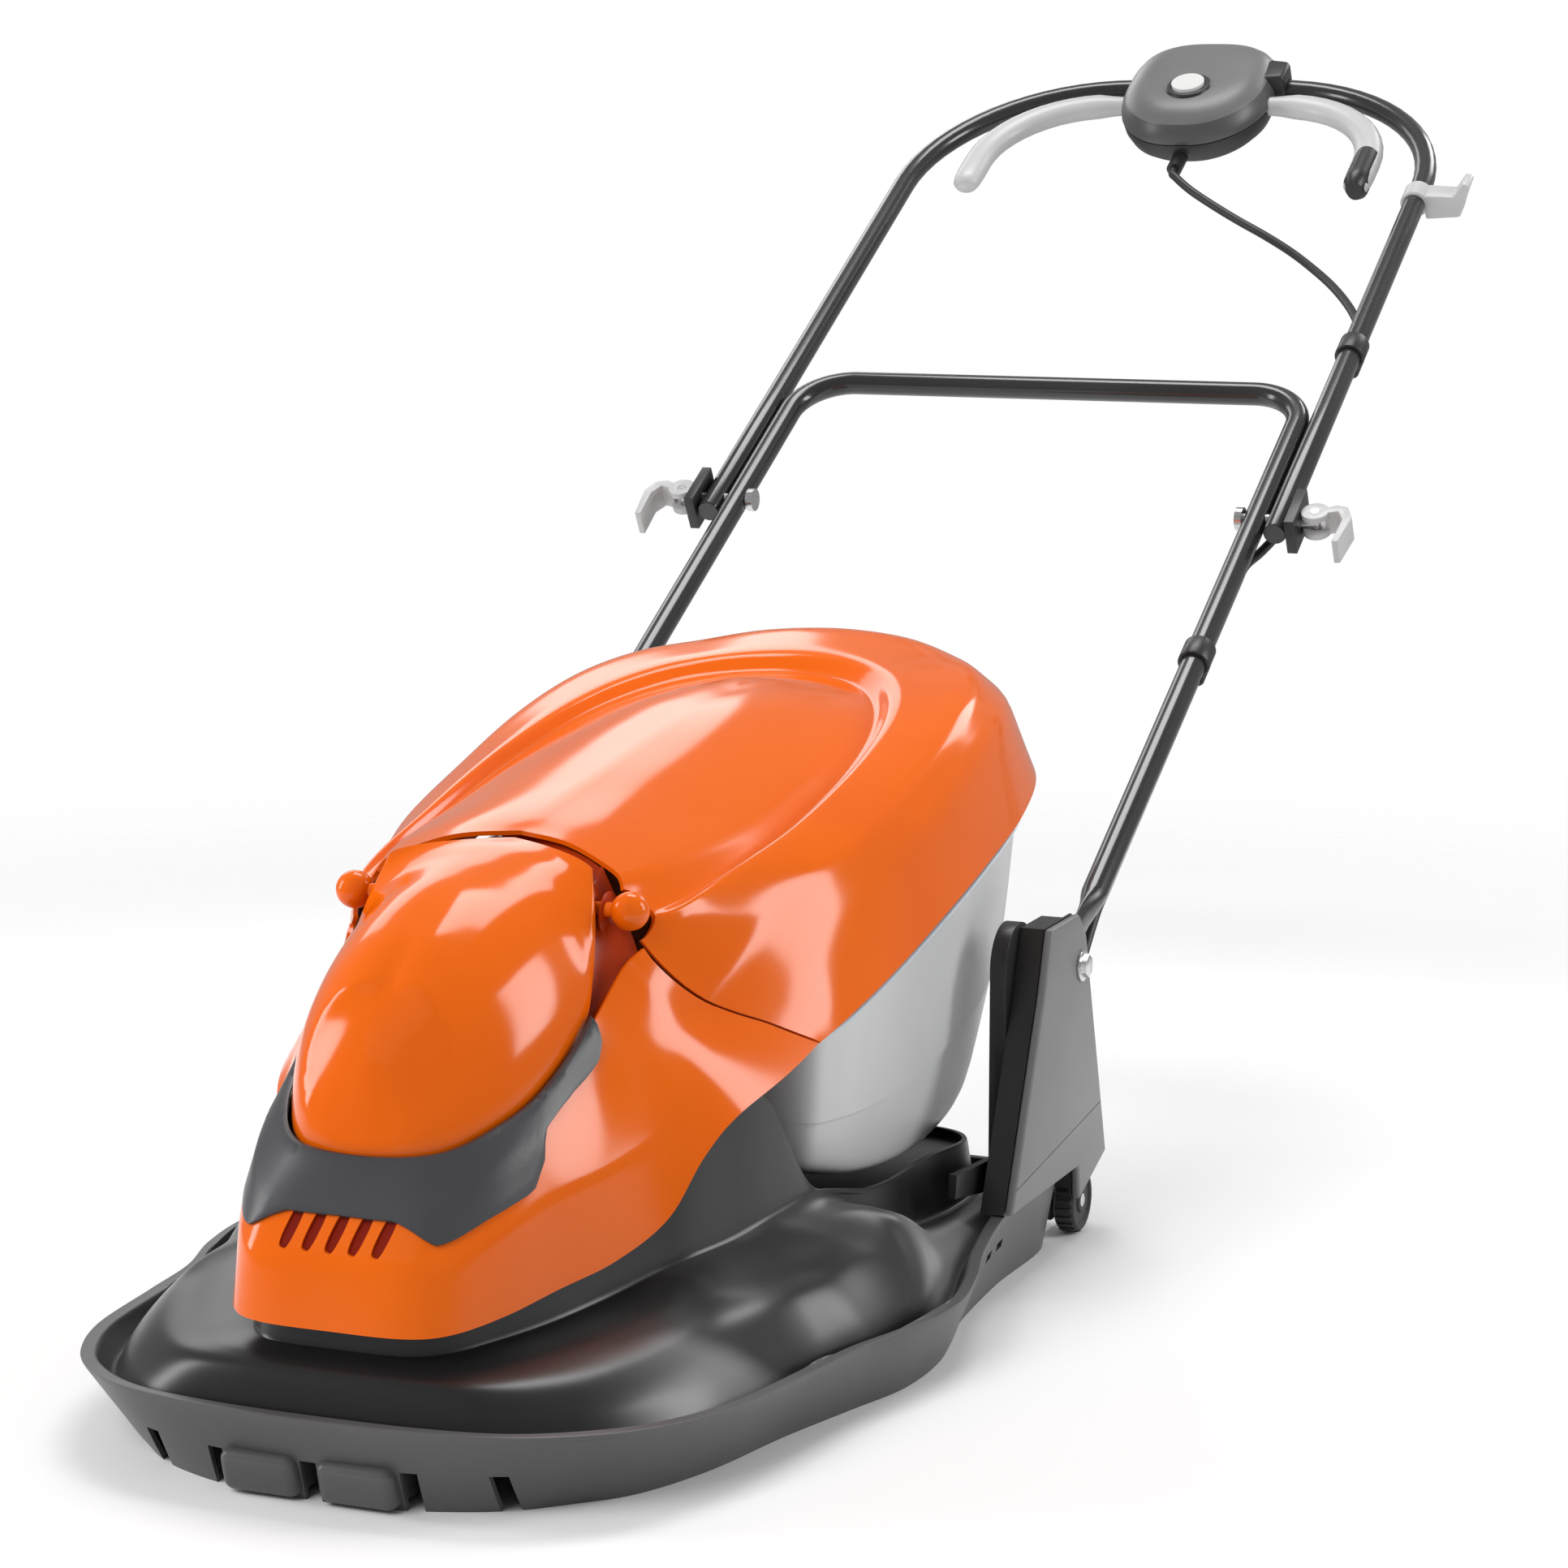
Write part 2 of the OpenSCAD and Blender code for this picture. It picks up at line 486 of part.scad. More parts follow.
module chin_band() {
  rows = hood_rows();
  n = len(band_low_shares) - 1;
  low = [for (j = [0 : n]) band_point(rows, j, band_low_shares[j])];
  mid = [for (j = [0 : n])
    band_point(rows, j, max(1, mix(band_low_shares[j], band_top_share, band_mid_share)))];
  high = [for (j = [0 : n]) band_point(rows, j, band_top_share)];
  color(deck_grey)
    shell([for (r = [low, mid, high]) fine(bow(r), 2, false)], skin_wall / 2, lift = band_lift);
}

// Lid and its hinge
lug_gap = 1;
lug_w = 6;
lug_d = 16;
lug_reach = 45;
lug_lean = 21;
module hinge_pin(side) {
  color(orange) mirrored(side) translate([hinge_x - hinge_pin_l, hinge_y, hinge_z]) rotate([0, 90, 0])
    rotate_extrude() union() {
      square([hinge_pin_d / 2, hinge_pin_l]);
      translate([0, hinge_pin_l]) intersection() {
        circle(d = ball_d);
        translate([0, -ball_d]) square([ball_d, 2 * ball_d]);
      }
    }
}
module hinge_pin_left() { hinge_pin(-1); }
module hinge_pin_right() { hinge_pin(1); }
lid_step = 6;
lid_step_share = 0.3;
lid_arch = 5;
lid_arch_share = 0.5;
function lid_row(r) = [for (i = [0 : len(r) - 1]) place(r[i]) + [0, i == 0 ? split_gap : 0, 0]];
module lid() {
  outer = [for (r = [lid_edge_shares, lid_crease_shares, lid_shoulder_shares, lid_ridge_shares]) lid_row(r)];
  panel = lid_row(lid_panel_shares);
  crown = lid_row(lid_crown_shares);
  step = [for (i = [0 : len(panel) - 1])
    mix(outer[3][i], panel[i], lid_step_share) - [0, 0, lid_step * lid_step_shares[i]]];
  arch = [for (i = [0 : len(panel) - 1])
    mix(panel[i], crown[i], lid_arch_share) + [0, 0, lid_arch * lid_arch_shares[i]]];
  rows = concat(outer, [step, panel, arch, crown]);
  full = [for (r = rows) concat(r, [for (i = [len(r) - 2 : -1 : 0]) flip(r[i])])];
  color(orange) difference() {
    union() {
      difference() {
        shell([for (r = full) fine(r, 2, false)], skin_wall, seam = true);
        for (side = [-1, 1]) mirrored(side) translate([hinge_x, hinge_y, hinge_z])
          pin_across(-ball_d / 2, 2 * ball_d, ball_d + 2 * ball_room);
      }
      for (side = [-1, 1]) mirrored(side)
        translate([bracket_x + bracket_w + lug_gap, hinge_y, hinge_z]) {
          pin_across(0, lug_w, lug_d);
          rotate([lug_lean, 0, 0]) translate([0, lug_d / 3, -lug_d / 4])
            cube([lug_w, lug_reach - lug_d / 3, lug_d / 2]);
        }
    }
    for (side = [-1, 1]) mirrored(side) translate([bracket_x, hinge_y, hinge_z])
      pin_across(0, hinge_x - bracket_x, hinge_pin_d + 2 * run_fit);
  }
}

// Collection box and chute
chute_w = 92;
chute_z_share = 0.4;
chute_z = chute_z_share * body_h + body_lift;
chute_h = 50;
chute_front_share = 0.19;
chute_front = chute_front_share * body_l;
chute_back = box_rim_shares[0][1] * body_l - 2 * split_gap;
chute_wall = 2.6;
module collection_box() {
  rows = [for (r = [box_rim_shares, box_waist_shares, box_foot_shares, box_floor_shares, box_keel_shares])
    [for (s = r) place(s)]];
  color(pale_grey) difference() {
    shell([for (r = rows) fine(ring(r), 2, true)], skin_wall, round_row = true, seam = true);
    translate([-chute_w, chute_back, chute_z + chute_wall])
      cube([2 * chute_w, skin_wall * 6, chute_h - 2 * chute_wall]);
  }
}
module grass_chute() {
  chute_l = chute_back - chute_front;
  chute_top = chute_z + chute_h;
  color(black) difference() {
    translate([-chute_w, chute_front, floor_z]) cube([2 * chute_w, chute_l, chute_top - floor_z]);
    translate([chute_wall - chute_w, chute_front + chute_wall, floor_z - over])
      cube([2 * (chute_w - chute_wall), chute_l - 2 * chute_wall, chute_top - floor_z - chute_wall + over]);
    translate([chute_wall - chute_w, chute_front + chute_wall, chute_z + chute_wall])
      cube([2 * (chute_w - chute_wall), chute_l, chute_h - 2 * chute_wall]);
  }
}

// Handle towers
cover_foot = rim_rear_z + lie_gap;
cover_out_share = 1.015;
cover_out = cover_out_share * body_half_w;
cover_in_share = 0.915;
cover_in = cover_in_share * body_half_w;
cover_plate = 4;
cover_wall = 4;
room_d = 72;
function side_view(t) = [for (s = t) [s[0] * body_l, s[1] * body_h + body_lift]];
cover_top_shares = [[0.924, 0.112], [0.836, 0.69], [0.81, 0.748], [0.706, 0.748], [0.68, 0.6]];
cover_low_shares = [[0.82, 0.036]];
function cover_view() = concat(
  [[cover_front_share * body_l, cover_foot], [cover_back_share * body_l, cover_foot]],
  side_view(cover_low_shares), side_view(cover_top_shares));
cover_front_share = 0.57;
cover_back_share = 0.816;
pocket_shares = [
  [0.6, 0.15], [0.824, 0.15], [0.836, 0.07], [0.912, 0.13], [0.826, 0.68], [0.806, 0.73], [0.71, 0.73],
  [0.692, 0.6]];
wheel_y_share = 0.856;
wheel_y = wheel_y_share * body_l;
wheel_lift = 0.2;
wheel_z = wheel_d / 2 + wheel_lift;
wheel_x = (cover_in + cover_out - cover_plate) / 2 + lie_gap;
axle_d = 8;
module tower_cover(side) {
  color(deck_grey) mirrored(side) difference() {
    across(cover_in, cover_out - cover_in) polygon(cover_view());
    across(cover_in - over, cover_out - cover_in - cover_plate + over) polygon(side_view(pocket_shares));
    translate([0, pivot_y, pivot_z]) {
      pin_across(cover_in - over, cover_out - cover_in - cover_plate + over, room_d);
      pin_across(cover_in, cover_out, bolt_d + 2 * run_fit);
    }
    translate([0, wheel_y, wheel_z])
      pin_across(cover_in - over, cover_out - cover_in - cover_plate + over, wheel_d + cover_wall);
  }
}
module tower_cover_left() { tower_cover(-1); }
module tower_cover_right() { tower_cover(1); }
post_w = 10;
post_in = cover_in - lie_gap - post_w;
post_l = 50;
post_front_share = 0.656;
post_front = post_front_share * body_l;
post_top_share = 0.76;
post_top = post_top_share * body_h + body_lift;
post_arm_shares = [[0.66, 0.124], [0.834, 0.124], [0.834, -0.03], [0.892, -0.03], [0.892, 0.17], [0.73, 0.3]];
post_hook_shares = [[0.67, 0.13], [0.67, 0.21], [0.52, 0.236], [0.516, 0.18]];
module tower_post(side) {
  color(black) mirrored(side) difference() {
    union() {
      translate([post_in, post_front, cover_foot]) cube([post_w, post_l, post_top - post_l / 2 - cover_foot]);
      translate([0, post_front + post_l / 2, post_top - post_l / 2]) pin_across(post_in, post_w, post_l);
      across(post_in + post_w / 2, post_w / 2) polygon(side_view(post_arm_shares));
      across(post_in, post_w / 2) polygon(side_view(post_hook_shares));
    }
    translate([0, wheel_y, wheel_z]) pin_across(post_in, 2 * post_w, axle_d);
  }
}
module tower_post_left() { tower_post(-1); }
module tower_post_right() { tower_post(1); }
head_d = 19;
head_h = 5;
lug_plate = 5;
nut_h = 5.5;
module pivot_bolt(side) {
  color(steel) mirrored(side) translate([0, pivot_y, pivot_z]) {
    pin_across(lug_x - lug_plate / 2 - lie_gap - nut_h,
               cover_out - lug_x + lug_plate / 2 + lie_gap + nut_h, bolt_d);
    pin_across(lug_x + lug_plate / 2 + lie_gap,
               cover_out - cover_plate - lug_x - lug_plate / 2 - 2 * lie_gap, bolt_d * 2);
    pin_across(cover_out, head_h / 3, head_d);
    translate([cover_out, 0, 0]) rotate([0, 90, 0]) cylinder(d = bolt_d * 1.8, h = head_h, $fn = 6);
  }
}
module pivot_bolt_left() { pivot_bolt(-1); }
module pivot_bolt_right() { pivot_bolt(1); }
module pivot_nuts() {
  color(steel) for (side = [-1, 1]) mirrored(side) translate([0, pivot_y, pivot_z]) difference() {
    translate([lug_x - lug_plate / 2 - lie_gap - nut_h, 0, 0]) rotate([0, 90, 0])
      cylinder(d = bolt_d * 1.8, h = nut_h, $fn = 6);
    pin_across(cover_in - post_w, 2 * post_w, bolt_d);
  }
}
module rear_wheel(side) {
  color(black) mirrored(side) translate([0, wheel_y, wheel_z]) difference() {
    pin_across(wheel_x - wheel_w / 2, wheel_w, wheel_d);
    pin_across(wheel_x - wheel_w / 2 - over, wheel_w + 2 * over, axle_d + 2 * run_fit);
  }
}
module rear_wheel_left() { rear_wheel(-1); }
module rear_wheel_right() { rear_wheel(1); }
module wheel_axle(side) {
  color(steel) mirrored(side) translate([0, wheel_y, wheel_z]) {
    pin_across(post_in + post_w / 2, wheel_x + wheel_w / 2 + lie_gap - post_in - post_w / 2, axle_d);
    pin_across(wheel_x + wheel_w / 2 + lie_gap, cover_plate / 4, axle_d * 1.5);
  }
}
module wheel_axle_left() { wheel_axle(-1); }
module wheel_axle_right() { wheel_axle(1); }

// Motor
motor_z = floor_z + plate_t;
can_wall = 3;
boss_d = 38;
boss_low = 5;
shaft_room = 1;
bearing_z = floor_z - boss_low / 2;
cap_z = motor_z + motor_h;
cap_t = 6;
cap_boss = 8;
cap_top = cap_z + cap_t + cap_boss;
field_gap = 1;
field_z = 26;
field_h = 58;
module motor_plate() {
  color(steel) difference() {
    union() {
      translate([0, 0, floor_z]) cylinder(d = plate_d, h = plate_t);
      translate([0, 0, floor_z - boss_low]) cylinder(d = boss_d, h = boss_low + plate_t);
    }
    translate([0, 0, floor_z - boss_low - over]) cylinder(d = shaft_d + 2 * shaft_room, h = 2 * boss_low);
    translate([0, 0, bearing_z]) cylinder(d = bearing_d, h = bearing_h + plate_t);
    for (k = [0 : 3]) rotate([0, 0, 45 + 90 * k]) translate([screw_ring / 2, 0, floor_z - over])
      cylinder(d = screw_d + 2 * run_fit, h = plate_t + 2 * over);
  }
}
module plate_screws() {
  color(steel) for (k = [0 : 3]) rotate([0, 0, 45 + 90 * k]) translate([screw_ring / 2, 0, 0]) {
    translate([0, 0, floor_z - deck_wall]) cylinder(d = screw_d, h = plate_t + deck_wall);
    translate([0, 0, motor_z]) cylinder(d = 2 * screw_d, h = screw_d);
  }
}
module motor_can() {
  color(steel) difference() {
    translate([0, 0, motor_z]) cylinder(d = motor_d, h = motor_h);
    translate([0, 0, motor_z - over]) cylinder(d = motor_d - 2 * can_wall, h = motor_h + 2 * over);
  }
}
module motor_cap() {
  color(black) difference() {
    union() {
      translate([0, 0, cap_z]) cylinder(d = motor_d, h = cap_t);
      translate([0, 0, cap_z]) cylinder(d = boss_d, h = cap_top - cap_z);
    }
    translate([0, 0, cap_z - over]) cylinder(d = bearing_d, h = bearing_h + over);
  }
}
module field_stack() {
  color(steel) difference() {
    translate([0, 0, motor_z + field_z]) cylinder(d = motor_d - 2 * can_wall, h = field_h);
    translate([0, 0, motor_z + field_z - over])
      cylinder(d = armature_d + 2 * field_gap, h = field_h + 2 * over);
  }
}
brush_w = 12;
brush_h = 16;
module brush_holders() {
  color(brass_tone) for (side = [-1, 1]) mirrored(side)
    translate([motor_d / 2 + lie_gap, -brush_w / 2, cap_z - 2 * brush_h])
      cube([brush_w, brush_w, brush_h]);
}
module bearing(z) {
  color(steel) difference() {
    translate([0, 0, z]) cylinder(d = bearing_d, h = bearing_h);
    translate([0, 0, z - over]) cylinder(d = shaft_d + 2 * run_fit, h = bearing_h + 2 * over);
  }
}
module bearing_lower() { bearing(bearing_z); }
module bearing_upper() { bearing(cap_z); }

// Spindle
bolt_head_h = 6;
washer_t = 3;
washer_d = 44;
stem_d = 6;
stem_l = 22;
spacer_d = 30;
spacer_h = 9;
disc_t = 2.5;
hub_d = 36;
vane_t = 2.4;
vane_in = 16;
blade_z = cut_h;
washer_z = blade_z - washer_t;
impeller_z = blade_z + blade_t + spacer_h;
module armature() {
  color(copper) translate([0, 0, motor_z + field_z]) difference() {
    cylinder(d = armature_d, h = field_h);
    translate([0, 0, -over]) cylinder(d = shaft_d, h = field_h + 2 * over);
  }
}
module drive_shaft() {
  color(steel) difference() {
    translate([0, 0, blade_z]) cylinder(d = shaft_d, h = cap_z + bearing_h - blade_z);
    translate([0, 0, blade_z - over]) cylinder(d = stem_d, h = stem_l + over);
  }
}
module impeller() {
  color(black) difference() {
    union() {
      translate([0, 0, impeller_z]) cylinder(d = hub_d, h = vane_h + disc_t);
      translate([0, 0, impeller_z + vane_h]) cylinder(d = impeller_d, h = disc_t);
      for (k = [0 : vane_count - 1]) rotate([0, 0, 360 * k / vane_count])
        translate([vane_in, -vane_t / 2, impeller_z])
          cube([impeller_d / 2 - vane_in - vane_t, vane_t, vane_h + disc_t / 2]);
    }
    translate([0, 0, impeller_z - over]) cylinder(d = shaft_d, h = vane_h + disc_t + 2 * over);
  }
}
module blade_spacer() {
  color(steel) difference() {
    translate([0, 0, blade_z + blade_t]) cylinder(d = spacer_d, h = spacer_h);
    translate([0, 0, blade_z]) cylinder(d = shaft_d, h = blade_t + spacer_h + over);
  }
}
module cutting_blade() {
  color(steel) translate([0, 0, blade_z]) difference() {
    intersection() {
      translate([-blade_d / 2, -blade_w / 2, 0]) cube([blade_d, blade_w, blade_t]);
      translate([0, 0, -over]) cylinder(d = blade_d, h = blade_t + 2 * over, $fn = 96);
    }
    translate([0, 0, -over]) cylinder(d = shaft_d, h = blade_t + 2 * over);
  }
}
module clamp_washer() {
  color(steel) difference() {
    translate([0, 0, washer_z]) cylinder(d = washer_d, h = washer_t);
    translate([0, 0, washer_z - over]) cylinder(d = stem_d, h = washer_t + 2 * over);
  }
}
module blade_bolt() {
  color(steel) {
    translate([0, 0, washer_z - bolt_head_h]) cylinder(d = hub_d / 2, h = bolt_head_h, $fn = 6);
    translate([0, 0, washer_z - bolt_head_h / 2])
      cylinder(d = stem_d, h = bolt_head_h / 2 + washer_t + stem_l);
  }
}

// Lower handle
lug_from = 46;
lug_to = 66;
lug_h = 22;
clip_l = 18;
clip_wall = 2.5;
clip_low_back = 166;
clip_low_u = fold_u - clip_low_back;
clip_high_on = 204;
clip_high_u = fold_u + clip_high_on;
lead_gap = 0.7;
lead_v = -tube_r - lead_d / 2 - lead_gap;
module lower_tube(d) {
  for (side = [-1, 1]) mirrored(side) {
    bar([lower_x, lug_from, 0], [lower_x, lower_l - lower_bend, 0], d);
    translate([lower_x - lower_bend, lower_l - lower_bend, 0]) rotate_extrude(angle = 90)
      translate([lower_bend, 0]) circle(d = d);
  }
  translate([0, lower_l, 0]) pin_across(lower_bend - lower_x, 2 * (lower_x - lower_bend), d);
}
module lower_handle() {
  color(tube_grey) on_handle() difference() {
    union() {
      difference() {
        lower_tube(tube_d);
        lower_tube(tube_d - 2 * tube_wall);
      }
      for (side = [-1, 1]) mirrored(side) {
        pin_across(lug_x - lug_plate / 2, lug_plate, lug_h);
        translate([lug_x - lug_plate / 2, 0, -tube_r]) cube([lug_plate, lug_to, tube_d]);
      }
    }
    for (side = [-1, 1]) mirrored(side) {
      pin_across(lug_x - lug_plate, 2 * lug_plate, bolt_d + 2 * run_fit);
      translate([0, fold_u, 0]) pin_across(lower_x - tube_d, 2 * tube_d, bolt_d + 2 * run_fit);
    }
  }
}
module tube_clip(x, u) {
  color(black) on_handle() translate([x, u, 0]) difference() {
    union() {
      bar([0, 0, 0], [0, clip_l, 0], tube_d + 2 * clip_wall);
      bar([0, 0, lead_v], [0, clip_l, lead_v], lead_d + 2 * clip_wall);
    }
    bar([0, -over, 0], [0, clip_l + over, 0], tube_d);
    bar([0, -over, lead_v], [0, clip_l + over, lead_v], lead_d + 4 * run_fit);
  }
}
module clip_lower() { tube_clip(lower_x, clip_low_u); }

// Upper handle
fold_tail = 17;
module upper_tube(d, tail) {
  for (side = [-1, 1]) mirrored(side) {
    bar([upper_x, fold_u - fold_tail - tail, 0], [upper_x, upper_l - upper_bend, 0], d);
    translate([upper_x - upper_bend, upper_l - upper_bend, 0]) rotate_extrude(angle = 90)
      translate([upper_bend, 0]) circle(d = d);
  }
  translate([0, upper_l, 0]) pin_across(upper_bend - upper_x, 2 * (upper_x - upper_bend), d);
}
module upper_handle() {
  color(tube_grey) on_handle() difference() {
    upper_tube(tube_d, 0);
    upper_tube(tube_d - 2 * tube_wall, over);
    for (side = [-1, 1]) mirrored(side)
      translate([0, fold_u, 0]) pin_across(upper_x - tube_r - over, tube_d + 2 * over, bolt_d + 2 * run_fit);
  }
}
block_t = 7;
block_l = 40;
block_w = 26;
block_x = upper_x + tube_r + lie_gap;
cam_d = 19;
cam_x = block_x + block_t + lie_gap + cam_d / 2;
cam_pin_d = 6;
cheek = 4.5;
cam_blade_shares = [
  [0.63, 0.42], [1.47, 0.84], [2.3, 0.63], [2.84, -0.63], [2.5, -3.6], [2.05, -3.6], [2.2, -0.84], [1.7, 0.1],
  [0.74, -0.2]];
module fold_bolt(side) {
  color(steel) on_handle() mirrored(side) translate([0, fold_u, 0]) {
    pin_across(lower_x - tube_r - lie_gap, cam_x - lower_x + tube_r + lie_gap, bolt_d);
    pin_across(lower_x - tube_r - lie_gap - head_h, head_h, 2 * bolt_d);
    translate([cam_x, 0, -2 * cheek]) cylinder(d = cam_pin_d, h = 4 * cheek);
  }
}
module fold_bolt_left() { fold_bolt(-1); }
module fold_bolt_right() { fold_bolt(1); }
module clamp_block(side) {
  color(black) on_handle() mirrored(side) translate([0, fold_u, 0]) difference() {
    translate([block_x, -block_l / 2, -block_w / 2]) cube([block_t, block_l, block_w]);
    pin_across(block_x - over, block_t + 2 * over, bolt_d + 2 * run_fit);
  }
}
module clamp_block_left() { clamp_block(-1); }
module clamp_block_right() { clamp_block(1); }
module cam_lever(side) {
  color(pale_grey) on_handle() mirrored(side) translate([cam_x, fold_u, 0]) difference() {
    union() {
      for (z = [-2 * cheek, cheek]) translate([0, 0, z]) cylinder(d = cam_d, h = cheek);
      translate([0, 0, -2 * cheek]) linear_extrude(4 * cheek) polygon(cam_blade_shares * cam_d / 2);
    }
    translate([0, 0, -2 * cheek - over]) cylinder(d = cam_pin_d + 2 * run_fit, h = 4 * cheek + 2 * over);
  }
}
module cam_lever_left() { cam_lever(-1); }
module cam_lever_right() { cam_lever(1); }
module clip_upper() { tube_clip(upper_x, clip_high_u); }
hook_back = 174;
hook_u = upper_l - hook_back;
hook_d = 7;
hook_bend = 12;
hook_out = 21;
hook_x = upper_x + hook_out;
hook_v = -8;
module cable_hook() {
  color(pale_grey) on_handle() translate([0, hook_u, 0]) difference() {
    union() {
      bar([upper_x, 0, 0], [upper_x, clip_l, 0], tube_d + 2 * clip_wall);
      translate([0, clip_l / 2, hook_v]) {
        translate([0, hook_bend, 0]) pin_across(upper_x, hook_x - upper_x, hook_d);
        translate([hook_x, 0, 0]) rotate([0, 0, -90]) rotate_extrude(angle = 180)
          translate([hook_bend, 0]) circle(d = hook_d);
        translate([0, -hook_bend, 0]) pin_across(hook_x - hook_bend / 2, hook_bend / 2, hook_d);
      }
    }
    bar([upper_x, -2 * hook_bend, 0], [upper_x, clip_l + 2 * hook_bend, 0], tube_d);
  }
}

// Switch box
switch_back = 20;
switch_u = upper_l - switch_back;
switch_points = 24;
switch_round_share = 0.72;
switch_wall = 2.6;
base_shares = [[-0.5, 0.6], [-0.36, 0.86], [-0.14, 0.98], [0, 1]];
hood_shares = [[0, 1], [0.2, 0.98], [0.4, 0.9], [0.5, 0.74]];
bail_back = 26;
bail_u = upper_l - bail_back;
button_back = 41;
button_u = upper_l - button_back;
button_up = 4;
button_flange = 3;
button_low = 16;
unit_low = -14;
unit_foot = 12;
unit_top = 2;
unit_w = 28;
unit_l = 30;
function bulge(c, power) = sign(c) * pow(abs(c), power);
function switch_ring(v, w, l) = [for (k = [0 : switch_points - 1])
  let (a = 360 * k / switch_points)
  [w / 2 * bulge(cos(a), switch_round_share), l / 2 * bulge(sin(a), switch_round_share), v]];
function switch_rings(t, wall) = [for (s = t)
  switch_ring(s[0] * (switch_h - 2 * wall), s[1] * switch_w - 2 * wall, s[1] * switch_l - 2 * wall)];
module switch_holes() {
  translate([0, upper_l - switch_u, 0]) pin_across(-switch_w, 2 * switch_w, tube_d + 4 * lie_gap);
  translate([0, bail_u - switch_u, 0]) pin_across(-switch_w, 2 * switch_w, bail_d + 2 * lie_gap);
}
module switch_cover() {
  color(tube_grey) on_handle() translate([0, switch_u, 0]) difference() {
    loft(switch_rings(hood_shares, 0));
    loft(concat([switch_ring(-over, switch_w - 2 * switch_wall, switch_l - 2 * switch_wall)],
                switch_rings(hood_shares, switch_wall)));
    switch_holes();
    translate([0, button_u - switch_u, 0]) cylinder(d = button_d + 2 * lie_gap, h = switch_h);
  }
}
inlet_x = -30;
inlet_u = 34;
inlet_d = 20;
inlet_l = 20;
gland_d = 12;
gland_l = 24;
gland_back = 84;
gland_u = switch_u - gland_back;
module switch_base() {
  color(black) on_handle() translate([0, switch_u, 0]) difference() {
    union() {
      difference() {
        translate([0, 0, -lie_gap]) loft(switch_rings(base_shares, 0));
        loft(concat(switch_rings(base_shares, switch_wall),
                    [switch_ring(over, switch_w - 2 * switch_wall, switch_l - 2 * switch_wall)]));
      }
      translate([-unit_foot / 2, button_u - switch_u - unit_foot, switch_wall / 2 - switch_h / 2])
        cube([unit_foot, unit_foot, unit_low - lie_gap - switch_wall / 2 + switch_h / 2]);
    }
    switch_holes();
    translate([inlet_x, inlet_u, -switch_h]) cylinder(d = inlet_d + 2 * run_fit, h = switch_h);
    bar([0, gland_u - switch_u, lead_v], [0, gland_u - switch_u + gland_l, lead_v], gland_d + 2 * run_fit);
  }
}
module switch_unit() {
  color(pale_grey) on_handle() translate([-unit_w / 2, button_u + spring_d / 3 - unit_l, unit_low])
    cube([unit_w, unit_l, unit_top - unit_low]);
}
module lock_button() {
  color(white) on_handle() translate([0, button_u, 0]) difference() {
    union() {
      translate([0, 0, button_low]) cylinder(d = button_d, h = switch_h / 2 + button_up - button_low);
      translate([0, 0, button_low]) cylinder(d = button_d + 2 * button_flange, h = button_flange);
    }
    translate([0, 0, button_low - over])
      cylinder(d = button_d - 2 * button_flange, h = switch_h / 2 - button_low + over);
  }
}
spring_d = 12;
spring_t = 1.5;
module button_spring() {
  color(steel) on_handle() translate([0, button_u, unit_top]) difference() {
    cylinder(d = spring_d, h = switch_h / 2 - unit_top - button_travel - lie_gap);
    translate([0, 0, -over]) cylinder(d = spring_d - 2 * spring_t, h = switch_h);
  }
}
bail_bend = 88;
bail_x = 158;
bail_reach = 127;
bail_tip_u = bail_u - bail_reach;
module bail_lever() {
  color(pale_grey) on_handle() {
    translate([0, bail_u, 0]) pin_across(bail_bend - bail_x, 2 * (bail_x - bail_bend), bail_d);
    for (side = [-1, 1]) mirrored(side) {
      translate([bail_x - bail_bend, bail_u - bail_bend, 0]) rotate_extrude(angle = 90)
        translate([bail_bend, 0]) circle(d = bail_d);
      bar([bail_x, bail_tip_u, 0], [bail_x, bail_u - bail_bend, 0], bail_d);
    }
  }
}
coil_x = 22;
coil_l = 12;
module bail_spring() {
  color(steel) on_handle() translate([0, bail_u, 0]) difference() {
    pin_across(coil_x, coil_l, bail_d + 2 * lie_gap + 2 * spring_t);
    pin_across(coil_x - over, coil_l + 2 * over, bail_d + 2 * lie_gap);
  }
}
module mains_inlet() {
  inlet_v = -switch_h / 2 - inlet_l / 2;
  color(black) on_handle() translate([inlet_x, switch_u + inlet_u, inlet_v]) difference() {
    cylinder(d = inlet_d, h = inlet_l);
    translate([0, 0, -over]) cylinder(d = inlet_d - 2 * switch_wall, h = inlet_l / 2 + over);
  }
}
module lead_gland() {
  color(black) on_handle() difference() {
    bar([0, gland_u, lead_v], [0, gland_u + gland_l, lead_v], gland_d);
    bar([0, gland_u - over, lead_v], [0, gland_u + gland_l + over, lead_v], lead_d + 4 * run_fit);
  }
}

// Motor lead: shares of the way across and along, then of the sag
lead_in = 18;
lead_out = 4;
lead_free = 22;
lead_sag = 17;
lead_span_shares = [
  [0.019, 0.023, 0.05], [0.086, 0.07, 0.28], [0.182, 0.121, 0.576], [0.297, 0.184, 0.81],
  [0.431, 0.258, 0.99], [0.555, 0.348, 0.99], [0.675, 0.457, 0.87], [0.785, 0.578, 0.635],
  [0.885, 0.715, 0.34], [0.957, 0.84, 0.106], [0.995, 0.93, 0.012], [1, 1, 0]];
lead_turn = 45;
lead_tail = 55;
lead_dip = 3.8;
lead_fold_shares = [
  [0, 0, 0], [0, 0.137, 0], [0.118, 0.298, 0.47], [0.412, 0.46, 1], [0.706, 0.621, 1], [0.941, 0.762, 0.47],
  [1, 0.883, 0], [1, 1, 0]];
lead_low_u = 80;
